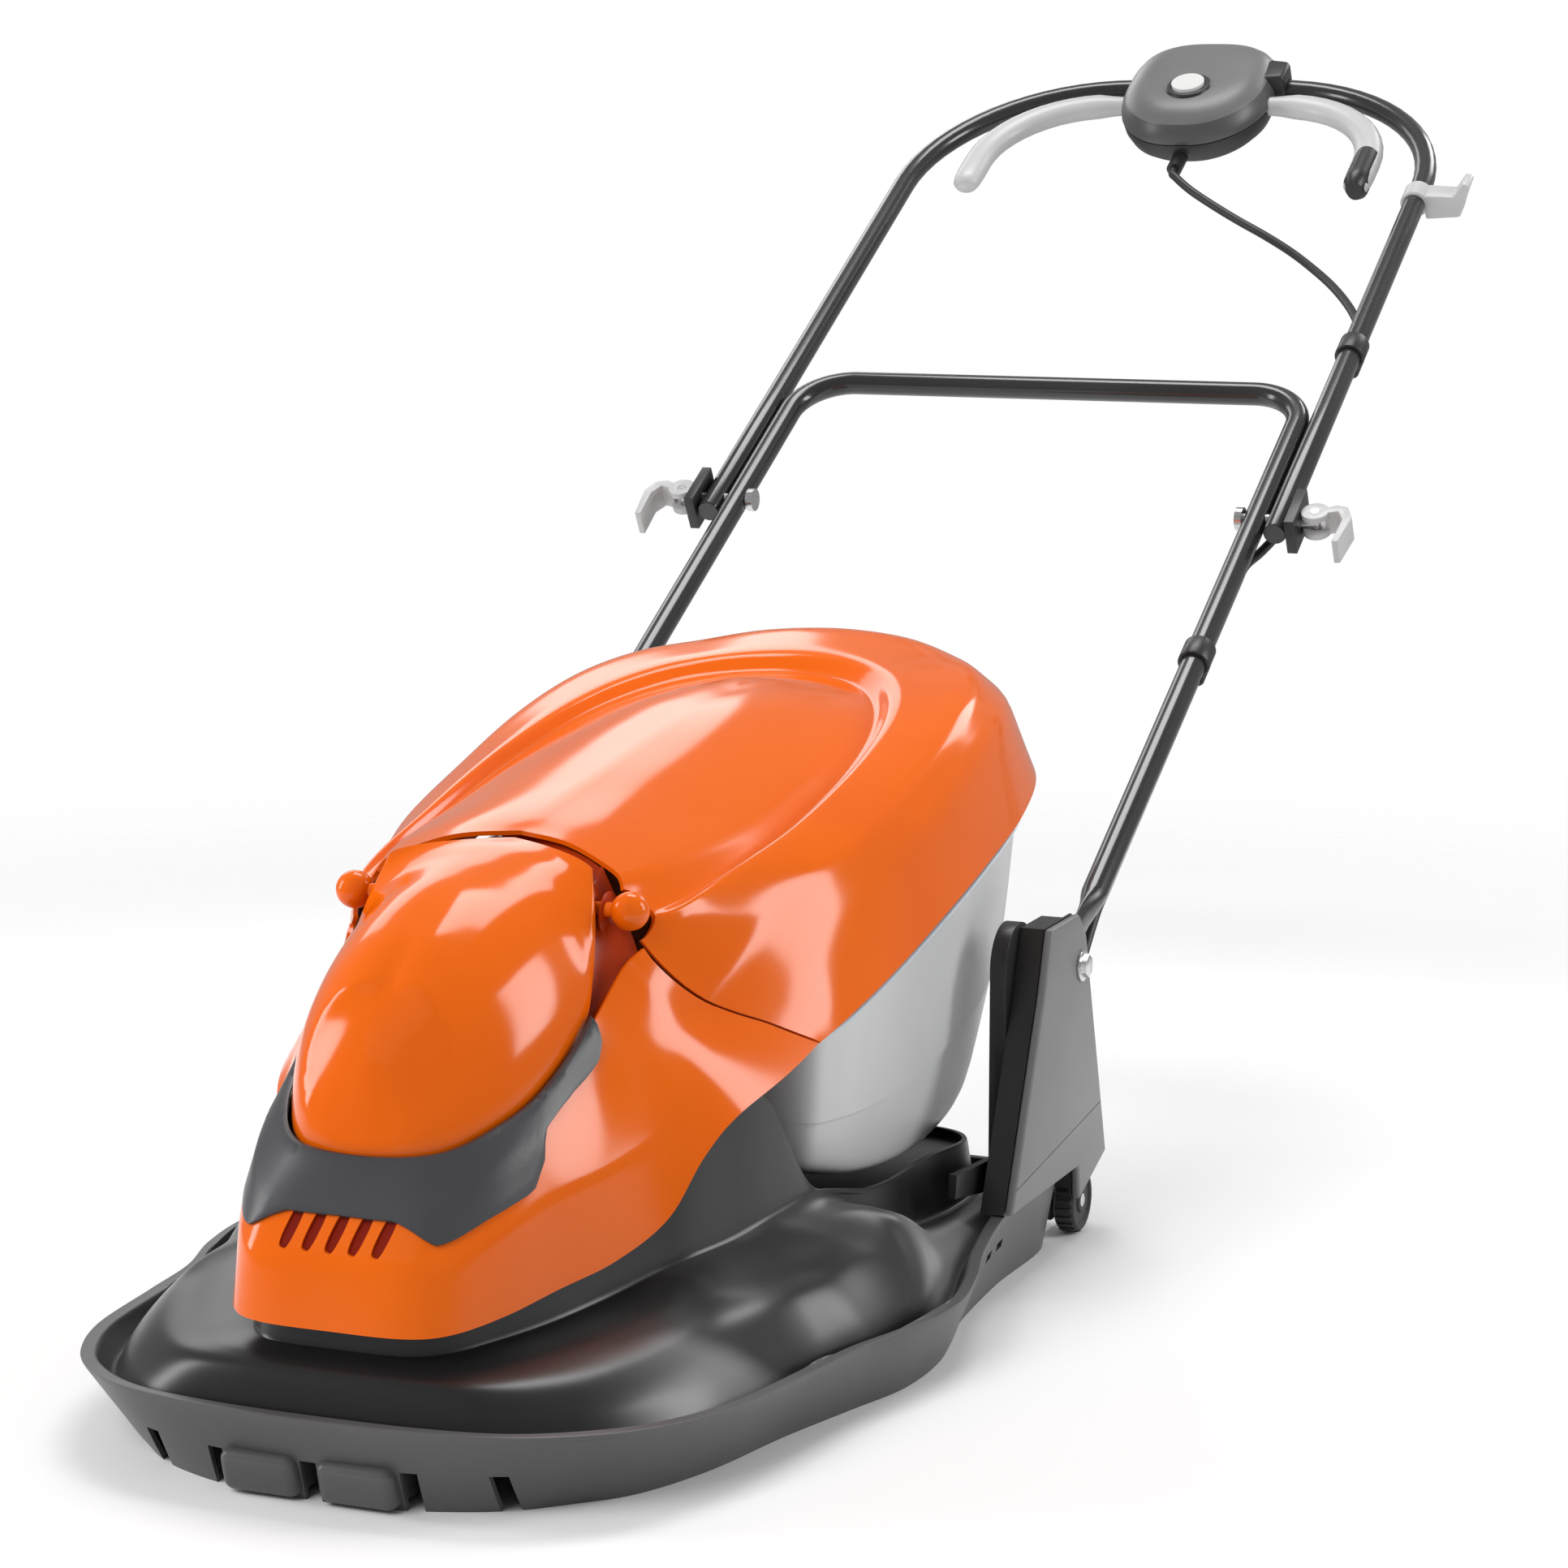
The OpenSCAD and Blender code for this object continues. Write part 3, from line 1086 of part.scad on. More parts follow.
lead_end_u = -32;
lead_drop = 48.8;
lead_base_shares = [
  [0, 0, 0], [0, 0.122, 0], [0, 0.265, 0.057], [0.5, 0.409, 0.16], [1, 0.552, 0.262], [1, 0.677, 0.385],
  [1, 0.803, 0.549], [1, 0.91, 0.754], [1, 1, 1]];
lead_end_gap = 0.4;
function lead_span(from, to, sag, shares) = [for (s = shares)
  [mix(from[0], to[0], s[0]), mix(from[1], to[1], s[1]), lead_v - sag * s[2]]];
lead_top_route = concat(
  [[0, gland_u + lead_in, lead_v], [0, gland_u - lead_out, lead_v]],
  lead_span([0, gland_u - lead_out], [upper_x, clip_high_u + lead_free], lead_sag, lead_span_shares),
  [[upper_x, clip_high_u - lead_free, lead_v], [upper_x, fold_u + lead_turn, lead_v]]);
lead_fold_route = lead_span([upper_x, fold_u + lead_turn - lead_end_gap],
                            [lower_x, fold_u - lead_tail + lead_end_gap], lead_dip, lead_fold_shares);
lead_low_route = [
  [lower_x, fold_u - lead_tail, lead_v], [lower_x, clip_low_u, lead_v], [lower_x, lead_low_u, lead_v]];
lead_base_route = lead_span([lower_x, lead_low_u - lead_end_gap], [lug_x, lead_end_u], lead_drop,
                            lead_base_shares);
lead_sides = 10;
module lead(route) {
  color(black) on_handle() sweep(route, lead_d, lead_sides);
}
module lead_top() { lead(lead_top_route); }
module lead_fold() { lead(lead_fold_route); }
module lead_low() { lead(lead_low_route); }
module lead_base() { lead(lead_base_route); }

// Everything is drawn here
hover_deck();
motor_hood();
motor_dome();
chin_band();
hinge_pin_left();
hinge_pin_right();
lid();
collection_box();
grass_chute();
tower_cover_left();
tower_cover_right();
tower_post_left();
tower_post_right();
pivot_bolt_left();
pivot_bolt_right();
pivot_nuts();
rear_wheel_left();
rear_wheel_right();
wheel_axle_left();
wheel_axle_right();
motor_plate();
plate_screws();
motor_can();
motor_cap();
field_stack();
brush_holders();
bearing_upper();
bearing_lower();
armature();
drive_shaft();
impeller();
blade_spacer();
cutting_blade();
clamp_washer();
blade_bolt();
lower_handle();
fold_bolt_left();
fold_bolt_right();
clip_lower();
upper_handle();
clamp_block_left();
clamp_block_right();
cam_lever_left();
cam_lever_right();
switch_cover();
switch_base();
switch_unit();
lock_button();
button_spring();
bail_lever();
bail_spring();
mains_inlet();
lead_gland();
cable_hook();
clip_upper();
lead_top();
lead_fold();
lead_low();
lead_base();
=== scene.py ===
import json
import math
import bmesh
import bpy
import numpy as np
from mathutils import Matrix, Vector


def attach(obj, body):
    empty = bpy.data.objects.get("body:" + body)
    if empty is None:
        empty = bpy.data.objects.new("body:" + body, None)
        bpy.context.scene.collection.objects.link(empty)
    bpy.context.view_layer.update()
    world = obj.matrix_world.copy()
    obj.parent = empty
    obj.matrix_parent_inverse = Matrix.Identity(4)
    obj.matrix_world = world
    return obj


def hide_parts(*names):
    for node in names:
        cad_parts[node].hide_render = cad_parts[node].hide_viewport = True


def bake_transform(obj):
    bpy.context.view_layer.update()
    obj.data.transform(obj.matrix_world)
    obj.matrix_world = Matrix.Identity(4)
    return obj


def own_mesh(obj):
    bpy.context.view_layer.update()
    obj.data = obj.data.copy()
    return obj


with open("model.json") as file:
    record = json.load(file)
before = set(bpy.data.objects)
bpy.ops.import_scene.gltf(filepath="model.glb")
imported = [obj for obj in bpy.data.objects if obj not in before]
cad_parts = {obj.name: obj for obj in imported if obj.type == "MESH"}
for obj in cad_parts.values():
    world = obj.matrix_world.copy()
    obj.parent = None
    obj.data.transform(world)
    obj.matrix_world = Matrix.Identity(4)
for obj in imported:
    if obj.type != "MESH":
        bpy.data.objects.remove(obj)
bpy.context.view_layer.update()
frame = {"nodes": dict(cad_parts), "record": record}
nodes = frame["nodes"]
print("frame loaded:", len(nodes), "nodes")


def addObject(name, data):
    thing = bpy.data.objects.new(name, data)
    bpy.context.scene.collection.objects.link(thing)
    return thing


# camera and stage
view = {"place": (0.953, -1.903, 0.684), "turn": 22.2, "down": 9.43, "lens": 94.5, "sensor": 36}
cameraData = bpy.data.cameras.new("photoCamera")
cameraData.lens, cameraData.sensor_width = view["lens"], view["sensor"]
cameraObject = addObject("photoCamera", cameraData)
cameraObject.location = view["place"]
cameraObject.rotation_euler = (math.radians(90 - view["down"]), 0, math.radians(view["turn"]))
bpy.context.scene.camera = cameraObject
bpy.context.scene.view_settings.view_transform = "Standard"

# body net: shares of half the width, of the length and of the height, as in the part's source
body = {"halfWidth": 0.2, "length": 0.5, "height": 0.25, "lift": 0.016, "wall": 0.0026, "deckWall": 0.0032}
handle = {"pivot": (0.408, 0.171), "angle": 29.5}
mirror = np.array([-1, 1, 1])
bothSides = (("left", -1), ("right", 1))
quarterTurn, fullTurn = math.pi / 2, 2 * math.pi
meshGap = 1e-5  # points closer than this are one
sideView, topView, frontView = (1, 2, 0), (0, 1, 2), (0, 2, 1)  # two axes of an outline, then that of its depth


def place(shares):
    return np.asarray(shares, float) * [body["halfWidth"], body["length"], body["height"]] + [0, 0, body["lift"]]


def onHandle(points):  # points given across, along and above the handle
    p = np.asarray(points, float).reshape(-1, 3)
    a = math.radians(handle["angle"])
    y = handle["pivot"][0] + p[:, 1] * math.cos(a) - p[:, 2] * math.sin(a)
    z = handle["pivot"][1] + p[:, 1] * math.sin(a) + p[:, 2] * math.cos(a)
    return np.stack([p[:, 0], y, z], 1)


alongWay, upWay = onHandle([(0, 1, 0), (0, 0, 1)]) - onHandle([(0, 0, 0)])


def bow(half):  # a half that starts in the middle, made whole
    h = np.asarray(half, float)
    return np.vstack([h[:0:-1] * mirror, h])


def ring(half):  # a half that starts and ends in the middle, made a closed ring
    h = np.asarray(half, float)
    return np.vstack([h, h[-2:0:-1] * mirror])


def over(half):  # a half that ends in the middle, made whole
    return np.vstack([half, half[-2::-1] * mirror])


def rounded(value, power):
    return math.copysign(abs(value) ** power, value)


def eased(value):
    v = np.clip(value, 0, 1)
    return v * v * (3 - 2 * v)


def flatUnit(ways):  # level ways of length one
    return ways * [1, 1, 0] / np.linalg.norm(ways[:, :2], axis=1)[:, None]


def circle(count):
    return np.linspace(0, fullTurn, count, endpoint=False)


def bend(points, steps, closed=False):  # a smooth curve through the points, along the first axis
    p = np.asarray(points, float)
    count = len(p)
    padded = np.concatenate([p[-1:], p, p[:2]]) if closed else np.concatenate(
        [2 * p[:1] - p[1:2], p, 2 * p[-1:] - p[-2:-1]])
    out = []
    for i in range(count if closed else count - 1):
        a, b, c, d = padded[i:i + 4]
        for k in range(steps):
            t = k / steps
            out.append((2 * b + (c - a) * t + (2 * a - 5 * b + 4 * c - d) * t * t
                        + (3 * b - a - 3 * c + d) * t ** 3) / 2)
    if not closed:
        out.append(p[-1])
    return np.array(out)


def netOf(rows, along, across, creases=(), closed=False, soft=2):
    grid = bend(np.asarray(rows, float).transpose(1, 0, 2), along, closed).transpose(1, 0, 2)
    cuts = [0, *creases, len(rows) - 1]
    parts = []
    for a, b in zip(cuts, cuts[1:]):
        part = bend(grid[a:b + 1], across)
        parts.append(part if b == cuts[-1] else part[:-1])
    grid = np.concatenate(parts)
    for _ in range(soft):
        grid[1:-1] = 0.25 * grid[:-2] + 0.5 * grid[1:-1] + 0.25 * grid[2:]
    return grid


def newPiece(name, points, faces):
    mesh = bpy.data.meshes.new(name)
    mesh.from_pydata([tuple(p) for p in points], [], [tuple(f) for f in faces])
    return addObject(name, mesh)


def gridFaces(rows, cols, closed=False):
    last = cols if closed else cols - 1
    return [(i * cols + j, i * cols + (j + 1) % cols, (i + 1) * cols + (j + 1) % cols, (i + 1) * cols + j)
            for i in range(rows - 1) for j in range(last)]


def tidyMesh(piece, inside=None):
    work = bmesh.new()
    work.from_mesh(piece.data)
    bmesh.ops.remove_doubles(work, verts=work.verts, dist=meshGap)
    bmesh.ops.dissolve_degenerate(work, edges=work.edges, dist=meshGap)
    bmesh.ops.recalc_face_normals(work, faces=work.faces)
    if inside is not None:
        middle = Vector(inside)
        way = sum(f.normal.dot(f.calc_center_median() - middle) * f.calc_area() for f in work.faces)
        if way < 0:
            bmesh.ops.reverse_faces(work, faces=work.faces)
    work.to_mesh(piece.data)
    work.free()


def solidOf(name, points, faces):
    piece = newPiece(name, points, faces)
    tidyMesh(piece)
    return piece


def smoothNear(piece, point, reach, times):  # evens out a pole of the net
    work = bmesh.new()
    work.from_mesh(piece.data)
    near = [v for v in work.verts if (v.co - Vector(point)).length < reach and not v.is_boundary]
    for _ in range(times):
        bmesh.ops.smooth_vert(work, verts=near, factor=0.5, use_axis_x=True, use_axis_y=True, use_axis_z=True)
    work.to_mesh(piece.data)
    work.free()


def applyModifiers(piece):
    bpy.context.view_layer.update()
    shown = piece.evaluated_get(bpy.context.evaluated_depsgraph_get())
    mesh = bpy.data.meshes.new_from_object(shown)
    piece.modifiers.clear()
    old = piece.data
    piece.data = mesh
    bpy.data.meshes.remove(old)


def modified(piece, kind, **settings):
    change = piece.modifiers.new("change", kind)
    for setting, value in settings.items():
        setattr(change, setting, value)
    applyModifiers(piece)


def thicken(piece, wall):
    modified(piece, "SOLIDIFY", thickness=wall, offset=-1)


def bevelled(piece, width, segments=3, angle=35):
    modified(piece, "BEVEL", width=width, segments=segments, limit_method="ANGLE", angle_limit=math.radians(angle))


def cutWith(piece, cutters):
    for cutter in cutters:
        cut = piece.modifiers.new("cut", "BOOLEAN")
        cut.operation = "DIFFERENCE"
        cut.solver = "EXACT"
        cut.object = cutter
    applyModifiers(piece)
    for cutter in cutters:
        bpy.data.objects.remove(cutter)


def shellOf(name, net, inside, wall=0, closed=False):  # a net as a shell that faces away from a point inside
    piece = newPiece(name, net.reshape(-1, 3), gridFaces(*net.shape[:2], closed))
    tidyMesh(piece, inside)
    if wall:
        thicken(piece, wall)
    return piece


def camel(words):
    first, *rest = words.split("_")
    return first + "".join(word.capitalize() for word in rest)


def slotLook(slotName):  # a slot's own finish
    return "skirtSatin" if slotName == "deck_grey" else camel(slotName)


def finishPiece(piece, bodyName, slotName, replaced="", sharp=40, looks=()):
    looks = looks or (slotLook(slotName),)
    if len(looks) == 1:
        piece.data.materials.clear()
    for k, look in enumerate(looks):
        if k < len(piece.data.materials):
            piece.data.materials[k] = finishes[look]
        else:
            piece.data.materials.append(finishes[look])
    piece.data.polygons.foreach_set("use_smooth", [True] * len(piece.data.polygons))
    piece.data.set_sharp_from_angle(angle=math.radians(sharp))
    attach(piece, bodyName)
    if replaced:
        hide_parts(replaced)
    return piece


def extruded(name, outline, ends, axes):  # a flat outline given a thickness along the third axis
    n = len(outline)
    points = np.zeros((2 * n, 3))
    points[:, axes[:2]] = np.vstack([outline, outline])
    points[:n, axes[2]], points[n:, axes[2]] = sorted(ends)
    faces = [range(n), range(2 * n - 1, n - 1, -1)]
    faces += [(k, n + k, n + (k + 1) % n, (k + 1) % n) for k in range(n)]
    return solidOf(name, points, faces)


def ontoHandle(piece):  # moves a piece that was made in the handle's own axes
    moved = onHandle([tuple(v.co) for v in piece.data.vertices])
    piece.data.vertices.foreach_set("co", moved.ravel().tolist())
    piece.data.update()
    return piece


def block(name, middle, size):
    (x, y, z), (w, l, h) = middle, size
    corners = [(x - w / 2, y - l / 2), (x + w / 2, y - l / 2), (x + w / 2, y + l / 2), (x - w / 2, y + l / 2)]
    return extruded(name, corners, (z - h / 2, z + h / 2), topView)


def cylinderAlong(name, start, end, radius, sides=40):
    a, b = Vector(start), Vector(end)
    turn = (b - a).to_track_quat("Z", "Y").to_matrix().to_4x4()
    work = bmesh.new()
    bmesh.ops.create_cone(work, cap_ends=True, segments=sides, radius1=radius, radius2=radius,
                          depth=(b - a).length, matrix=Matrix.Translation((a + b) / 2) @ turn)
    mesh = bpy.data.meshes.new(name)
    work.to_mesh(mesh)
    work.free()
    return addObject(name, mesh)


def spun(name, profile, start, way, sides=64, hollow=False):  # a profile of radius and depth, turned about an axis
    turn = Vector(way).normalized().to_track_quat("Z", "Y").to_matrix()
    points = []
    for radius, depth in profile:
        for k in range(sides):
            a = fullTurn * k / sides
            points.append(Vector(start) + turn @ Vector((radius * math.cos(a), radius * math.sin(a), depth)))
    faces = gridFaces(len(profile), sides, True)
    last = len(points) - sides
    if hollow:
        faces += [(last + k, last + (k + 1) % sides, (k + 1) % sides, k) for k in range(sides)]
    else:
        faces += [range(sides), range(len(points) - 1, last - 1, -1)]
    return solidOf(name, points, faces)


def tubeAlong(name, route, sizes, sides=20, sideways=None):  # sizes: a width and a height, for all points or each
    p = np.asarray(route, float)
    sizes = np.broadcast_to(sizes, (len(p), 2))
    ways = np.gradient(p, axis=0)
    ways /= np.linalg.norm(ways, axis=1)[:, None]
    side = np.cross(ways[0], [0, 0, 1]) if sideways is None else np.asarray(sideways, float)
    points = []
    for i, way in enumerate(ways):
        side = side - way * side.dot(way)
        side /= np.linalg.norm(side)
        up = np.cross(side, way)
        wide, high = sizes[i]
        for k in range(sides):
            a = fullTurn * k / sides
            points.append(p[i] + side * wide / 2 * math.cos(a) + up * high / 2 * math.sin(a))
    faces = gridFaces(len(p), sides, True)
    faces += [range(sides), range(len(points) - 1, len(points) - sides - 1, -1)]
    return solidOf(name, points, faces)


def softened(nodeName, width, bodyName, slotName, segments=2):  # a CAD shape with rounded edges
    piece = addObject(camel(nodeName) + "Soft", nodes[nodeName].data.copy())
    work = bmesh.new()
    work.from_mesh(piece.data)
    bmesh.ops.remove_doubles(work, verts=work.verts, dist=meshGap)
    bmesh.ops.dissolve_limit(work, angle_limit=math.radians(1.5), verts=work.verts, edges=work.edges)
    work.to_mesh(piece.data)
    work.free()
    bevelled(piece, width, segments, 40)
    finishPiece(piece, bodyName, slotName, nodeName)


# node trees
def wire(tree, *links):  # each link: a node and its output, then a node and its input
    for source, out, target, into in links:
        tree.links.new(source.outputs[out], target.inputs[into])


def addNode(tree, kind, values=()):
    node = tree.nodes.new(kind)
    for socket, value in dict(values).items():
        node.inputs[socket].default_value = value
    return node


# Geometry Nodes trees for what repeats or winds
def newTree(name, inputs):
    tree = bpy.data.node_groups.new(name, "GeometryNodeTree")
    for way in ("INPUT", "OUTPUT"):
        tree.interface.new_socket("Geometry", in_out=way, socket_type="NodeSocketGeometry")
    for label, kind in inputs.items():
        tree.interface.new_socket(label, in_out="INPUT", socket_type="NodeSocket" + kind)
    return tree, addNode(tree, "NodeGroupInput"), addNode(tree, "NodeGroupOutput")


def closeTree(tree, given, result, last, out):
    realize = addNode(tree, "GeometryNodeRealizeInstances")
    painted = addNode(tree, "GeometryNodeSetMaterial")
    wire(tree, (last, out, realize, "Geometry"), (realize, "Geometry", painted, "Geometry"),
         (given, "Finish", painted, "Material"), (painted, "Geometry", result, "Geometry"))
    return tree


def rowTree():  # copies of a shape along a straight row
    tree, given, result = newTree("rowOfShapes", {
        "Count": "Int", "Start": "Vector", "Step": "Vector", "Shape": "Object", "Finish": "Material"})
    line = addNode(tree, "GeometryNodeMeshLine")
    shape = addNode(tree, "GeometryNodeObjectInfo")
    copies = addNode(tree, "GeometryNodeInstanceOnPoints")
    wire(tree, (given, "Count", line, "Count"), (given, "Start", line, "Start Location"),
         (given, "Step", line, "Offset"), (given, "Shape", shape, "Object"),
         (line, "Mesh", copies, "Points"), (shape, "Geometry", copies, "Instance"))
    return closeTree(tree, given, result, copies, "Instances")


def ringTree():  # copies of a shape round a circle, each turned to face out
    tree, given, result = newTree("ringOfShapes", {
        "Count": "Int", "Radius": "Float", "Centre": "Vector", "Turn": "Vector", "Shape": "Object",
        "Finish": "Material"})
    hoop = addNode(tree, "GeometryNodeMeshCircle")
    shape = addNode(tree, "GeometryNodeObjectInfo")
    index = addNode(tree, "GeometryNodeInputIndex")
    part = addNode(tree, "ShaderNodeMath")
    part.operation = "DIVIDE"
    angle = addNode(tree, "ShaderNodeMath", {1: fullTurn})
    angle.operation = "MULTIPLY"
    way = addNode(tree, "ShaderNodeCombineXYZ")
    copies = addNode(tree, "GeometryNodeInstanceOnPoints")
    moved = addNode(tree, "GeometryNodeTransform")
    wire(tree, (given, "Count", hoop, "Vertices"), (given, "Radius", hoop, "Radius"),
         (given, "Shape", shape, "Object"), (index, "Index", part, 0), (given, "Count", part, 1),
         (part, "Value", angle, 0), (angle, "Value", way, "Z"), (hoop, "Mesh", copies, "Points"),
         (shape, "Geometry", copies, "Instance"), (way, "Vector", copies, "Rotation"),
         (copies, "Instances", moved, "Geometry"), (given, "Centre", moved, "Translation"),
         (given, "Turn", moved, "Rotation"))
    return closeTree(tree, given, result, moved, "Geometry")


def coilTree():  # wire wound into a spring
    tree, given, result = newTree("wireCoil", {
        "Turns": "Float", "Radius": "Float", "Height": "Float", "Wire": "Float", "Centre": "Vector",
        "Turn": "Vector", "Finish": "Material"})
    spiral = addNode(tree, "GeometryNodeCurveSpiral", {"Resolution": 24})
    section = addNode(tree, "GeometryNodeCurvePrimitiveCircle", {"Resolution": 10})
    wound = addNode(tree, "GeometryNodeCurveToMesh", {"Fill Caps": True})
    moved = addNode(tree, "GeometryNodeTransform")
    wire(tree, (given, "Turns", spiral, "Rotations"), (given, "Radius", spiral, "Start Radius"),
         (given, "Radius", spiral, "End Radius"), (given, "Height", spiral, "Height"),
         (given, "Wire", section, "Radius"), (spiral, "Curve", wound, "Curve"),
         (section, "Curve", wound, "Profile Curve"), (wound, "Mesh", moved, "Geometry"),
         (given, "Centre", moved, "Translation"), (given, "Turn", moved, "Rotation"))
    return closeTree(tree, given, result, moved, "Geometry")


def grown(name, tree, values):  # a plain mesh from a tree, with its named inputs set
    piece = newPiece(name, [], [])
    growth = piece.modifiers.new("growth", "NODES")
    growth.node_group = tree
    sockets = {item.name: item.identifier for item in tree.interface.items_tree if item.in_out == "INPUT"}
    for label, value in values.items():
        growth[sockets[label]] = value
    applyModifiers(piece)
    if "Shape" in values:
        bpy.data.objects.remove(values["Shape"])
    return piece


rowOfShapes, ringOfShapes, wireCoil = rowTree(), ringTree(), coilTree()


# finishes
def newMaterial(name):
    material = bpy.data.materials.new(name)
    material.use_nodes = True
    return material, material.node_tree, material.node_tree.nodes["Principled BSDF"]


def noiseOn(tree, scale, detail, stretch=(1, 1, 1)):
    coords = addNode(tree, "ShaderNodeTexCoord")
    mapping = addNode(tree, "ShaderNodeMapping", {"Scale": stretch})
    noise = addNode(tree, "ShaderNodeTexNoise", {"Scale": scale, "Detail": detail})
    wire(tree, (coords, "Object", mapping, "Vector"), (mapping, "Vector", noise, "Vector"))
    return noise


def tonesOn(tree, shader, source, ends, tones):  # two tones that follow a node
    ramp = addNode(tree, "ShaderNodeValToRGB")
    for stop, position, tone in zip(ramp.color_ramp.elements, ends, tones):
        stop.position = position
        stop.color = (*tone, 1)
    wire(tree, (source, "Fac", ramp, "Fac"), (ramp, "Color", shader, "Base Color"))


def glossOn(tree, shader, source, rough):  # a roughness between two values that follows a node
    gloss = addNode(tree, "ShaderNodeMapRange", {"To Min": rough[0], "To Max": rough[1]})
    wire(tree, (source, "Fac", gloss, "Value"), (gloss, "Result", shader, "Roughness"))


def bumpOn(tree, shader, source, strength, distance):
    bump = addNode(tree, "ShaderNodeBump", {"Strength": strength, "Distance": distance})
    wire(tree, (source, "Fac", bump, "Height"), (bump, "Normal", shader, "Normal"))


def moulded(name, dark, light, rough, grain, more):  # a plastic: two close tones, uneven gloss and a fine grain
    material, tree, shader = newMaterial(name)
    if "tone" in more:  # the two tones follow the piece's own attribute
        cloud, ends = addNode(tree, "ShaderNodeAttribute"), (0, 1)
        cloud.attribute_name = more["tone"]
    else:
        cloud, ends = noiseOn(tree, 7, 4), (0.3, 0.7)
    tonesOn(tree, shader, cloud, ends, (dark, light))
    glossOn(tree, shader, noiseOn(tree, 23, 5), rough)
    bumpOn(tree, shader, noiseOn(tree, grain[0], 2), grain[1], 0.0004)
    shader.inputs["Specular IOR Level"].default_value = more.get("specular", 0.5)
    shader.inputs["Coat Weight"].default_value = more.get("coat", 0)
    shader.inputs["Coat Roughness"].default_value = more.get("coatRough", 0.08)
    return material


def metal(name, dark, light, rough, lines, stretch):  # a metal with fine drawn lines
    material, tree, shader = newMaterial(name)
    drawn = noiseOn(tree, lines, 4, stretch)
    tonesOn(tree, shader, drawn, (0.25, 0.75), (dark, light))
    glossOn(tree, shader, drawn, rough)
    bumpOn(tree, shader, drawn, 0.06, 0.0003)
    shader.inputs["Metallic"].default_value = 1
    return material


plastics = {  # dark and light tone, least and most roughness, scale and strength of the grain, what else differs
    "orangeGloss": ((0.78, 0.118, 0.0012), (0.85, 0.142, 0.002), (0.10, 0.14), (420, 0.008), {"specular": 0.3}),
    # painted shade: the dark red backs seen inside the vent slots
    "recessRed": ((0.17, 0.007, 0.002), (0.25, 0.014, 0.003), (0.4, 0.5), (600, 0.03), {"specular": 0.2}),
    # painted shade: the darker orange in the groove round the dome and in the hinge holes
    "seamOrange": ((0.38, 0.032, 0.002), (0.45, 0.042, 0.003), (0.3, 0.4), (600, 0.03), {"specular": 0.25}),
    "skirtSatin": ((0.074, 0.074, 0.077), (0.094, 0.094, 0.098), (0.34, 0.46), (1100, 0.16), {"specular": 0.45}),
    "humpGloss": ((0.012, 0.012, 0.013), (0.020, 0.020, 0.021), (0.2, 0.3), (900, 0.06), {}),
    # painted sheen: black gloss, painted lighter grey where the lamps' reflection falls on the hump's outer flank
    "humpShade": ((0.012, 0.012, 0.013), (0.19, 0.19, 0.194), (0.27, 0.36), (500, 0.012), {"tone": "tone"}),
    "bandSatin": ((0.042, 0.043, 0.047), (0.056, 0.057, 0.062), (0.32, 0.42), (1300, 0.14), {}),
    "towerGrey": ((0.16, 0.161, 0.164), (0.195, 0.196, 0.20), (0.38, 0.5), (1000, 0.15), {}),
    "boxGrey": ((0.50, 0.505, 0.51), (0.57, 0.575, 0.58), (0.3, 0.4), (420, 0.03), {}),
    # painted highlight: the pale line along the box's rim under the lid
    "rimPale": ((0.58, 0.68, 0.76), (0.66, 0.75, 0.82), (0.3, 0.4), (1200, 0.05), {}),
    "blackPlastic": ((0.012, 0.012, 0.013), (0.022, 0.022, 0.024), (0.3, 0.45), (420, 0.01), {}),
    "switchGrey": ((0.055, 0.055, 0.058), (0.075, 0.075, 0.078), (0.3, 0.42), (420, 0.015), {}),
    "palePlastic": ((0.46, 0.46, 0.46), (0.54, 0.54, 0.54), (0.28, 0.4), (420, 0.01), {}),
    "panelGrey": ((0.12, 0.12, 0.123), (0.155, 0.155, 0.158), (0.3, 0.42), (1300, 0.1), {}),
    "whitePlastic": ((0.62, 0.62, 0.61), (0.70, 0.70, 0.69), (0.24, 0.34), (420, 0.01), {}),
    "tubePaint": ((0.014, 0.014, 0.015), (0.024, 0.024, 0.025), (0.20, 0.25), (160, 0.001),
                  {"coat": 0.4, "coatRough": 0.1}),
    "wheelBlack": ((0.016, 0.016, 0.016), (0.028, 0.028, 0.028), (0.5, 0.65), (700, 0.25), {}),
    "leadBlack": ((0.012, 0.012, 0.012), (0.02, 0.02, 0.02), (0.38, 0.5), (400, 0.02), {})}
metals = {  # dark and light tone, least and most roughness, scale of the lines and how they are stretched
    "brightSteel": ((0.55, 0.55, 0.56), (0.74, 0.74, 0.75), (0.2, 0.34), 60, (1, 14, 14)),
    "motorMetal": ((0.40, 0.40, 0.41), (0.55, 0.55, 0.56), (0.3, 0.45), 60, (1, 14, 14)),
    "copperWinding": ((0.62, 0.27, 0.13), (0.80, 0.40, 0.22), (0.25, 0.4), 240, (1, 1, 6))}
finishes = {name: moulded(name, *look) for name, look in plastics.items()}
finishes.update({name: metal(name, *look) for name, look in metals.items()})
print("finishes made:", len(bpy.data.materials))

# every CAD node gets its finish first; pieces made below stand for some of them
for row in frame["record"]["subparts"]:
    nodes[row["node"]].data.materials.clear()
    nodes[row["node"]].data.materials.append(finishes[slotLook(row["material_slot"])])
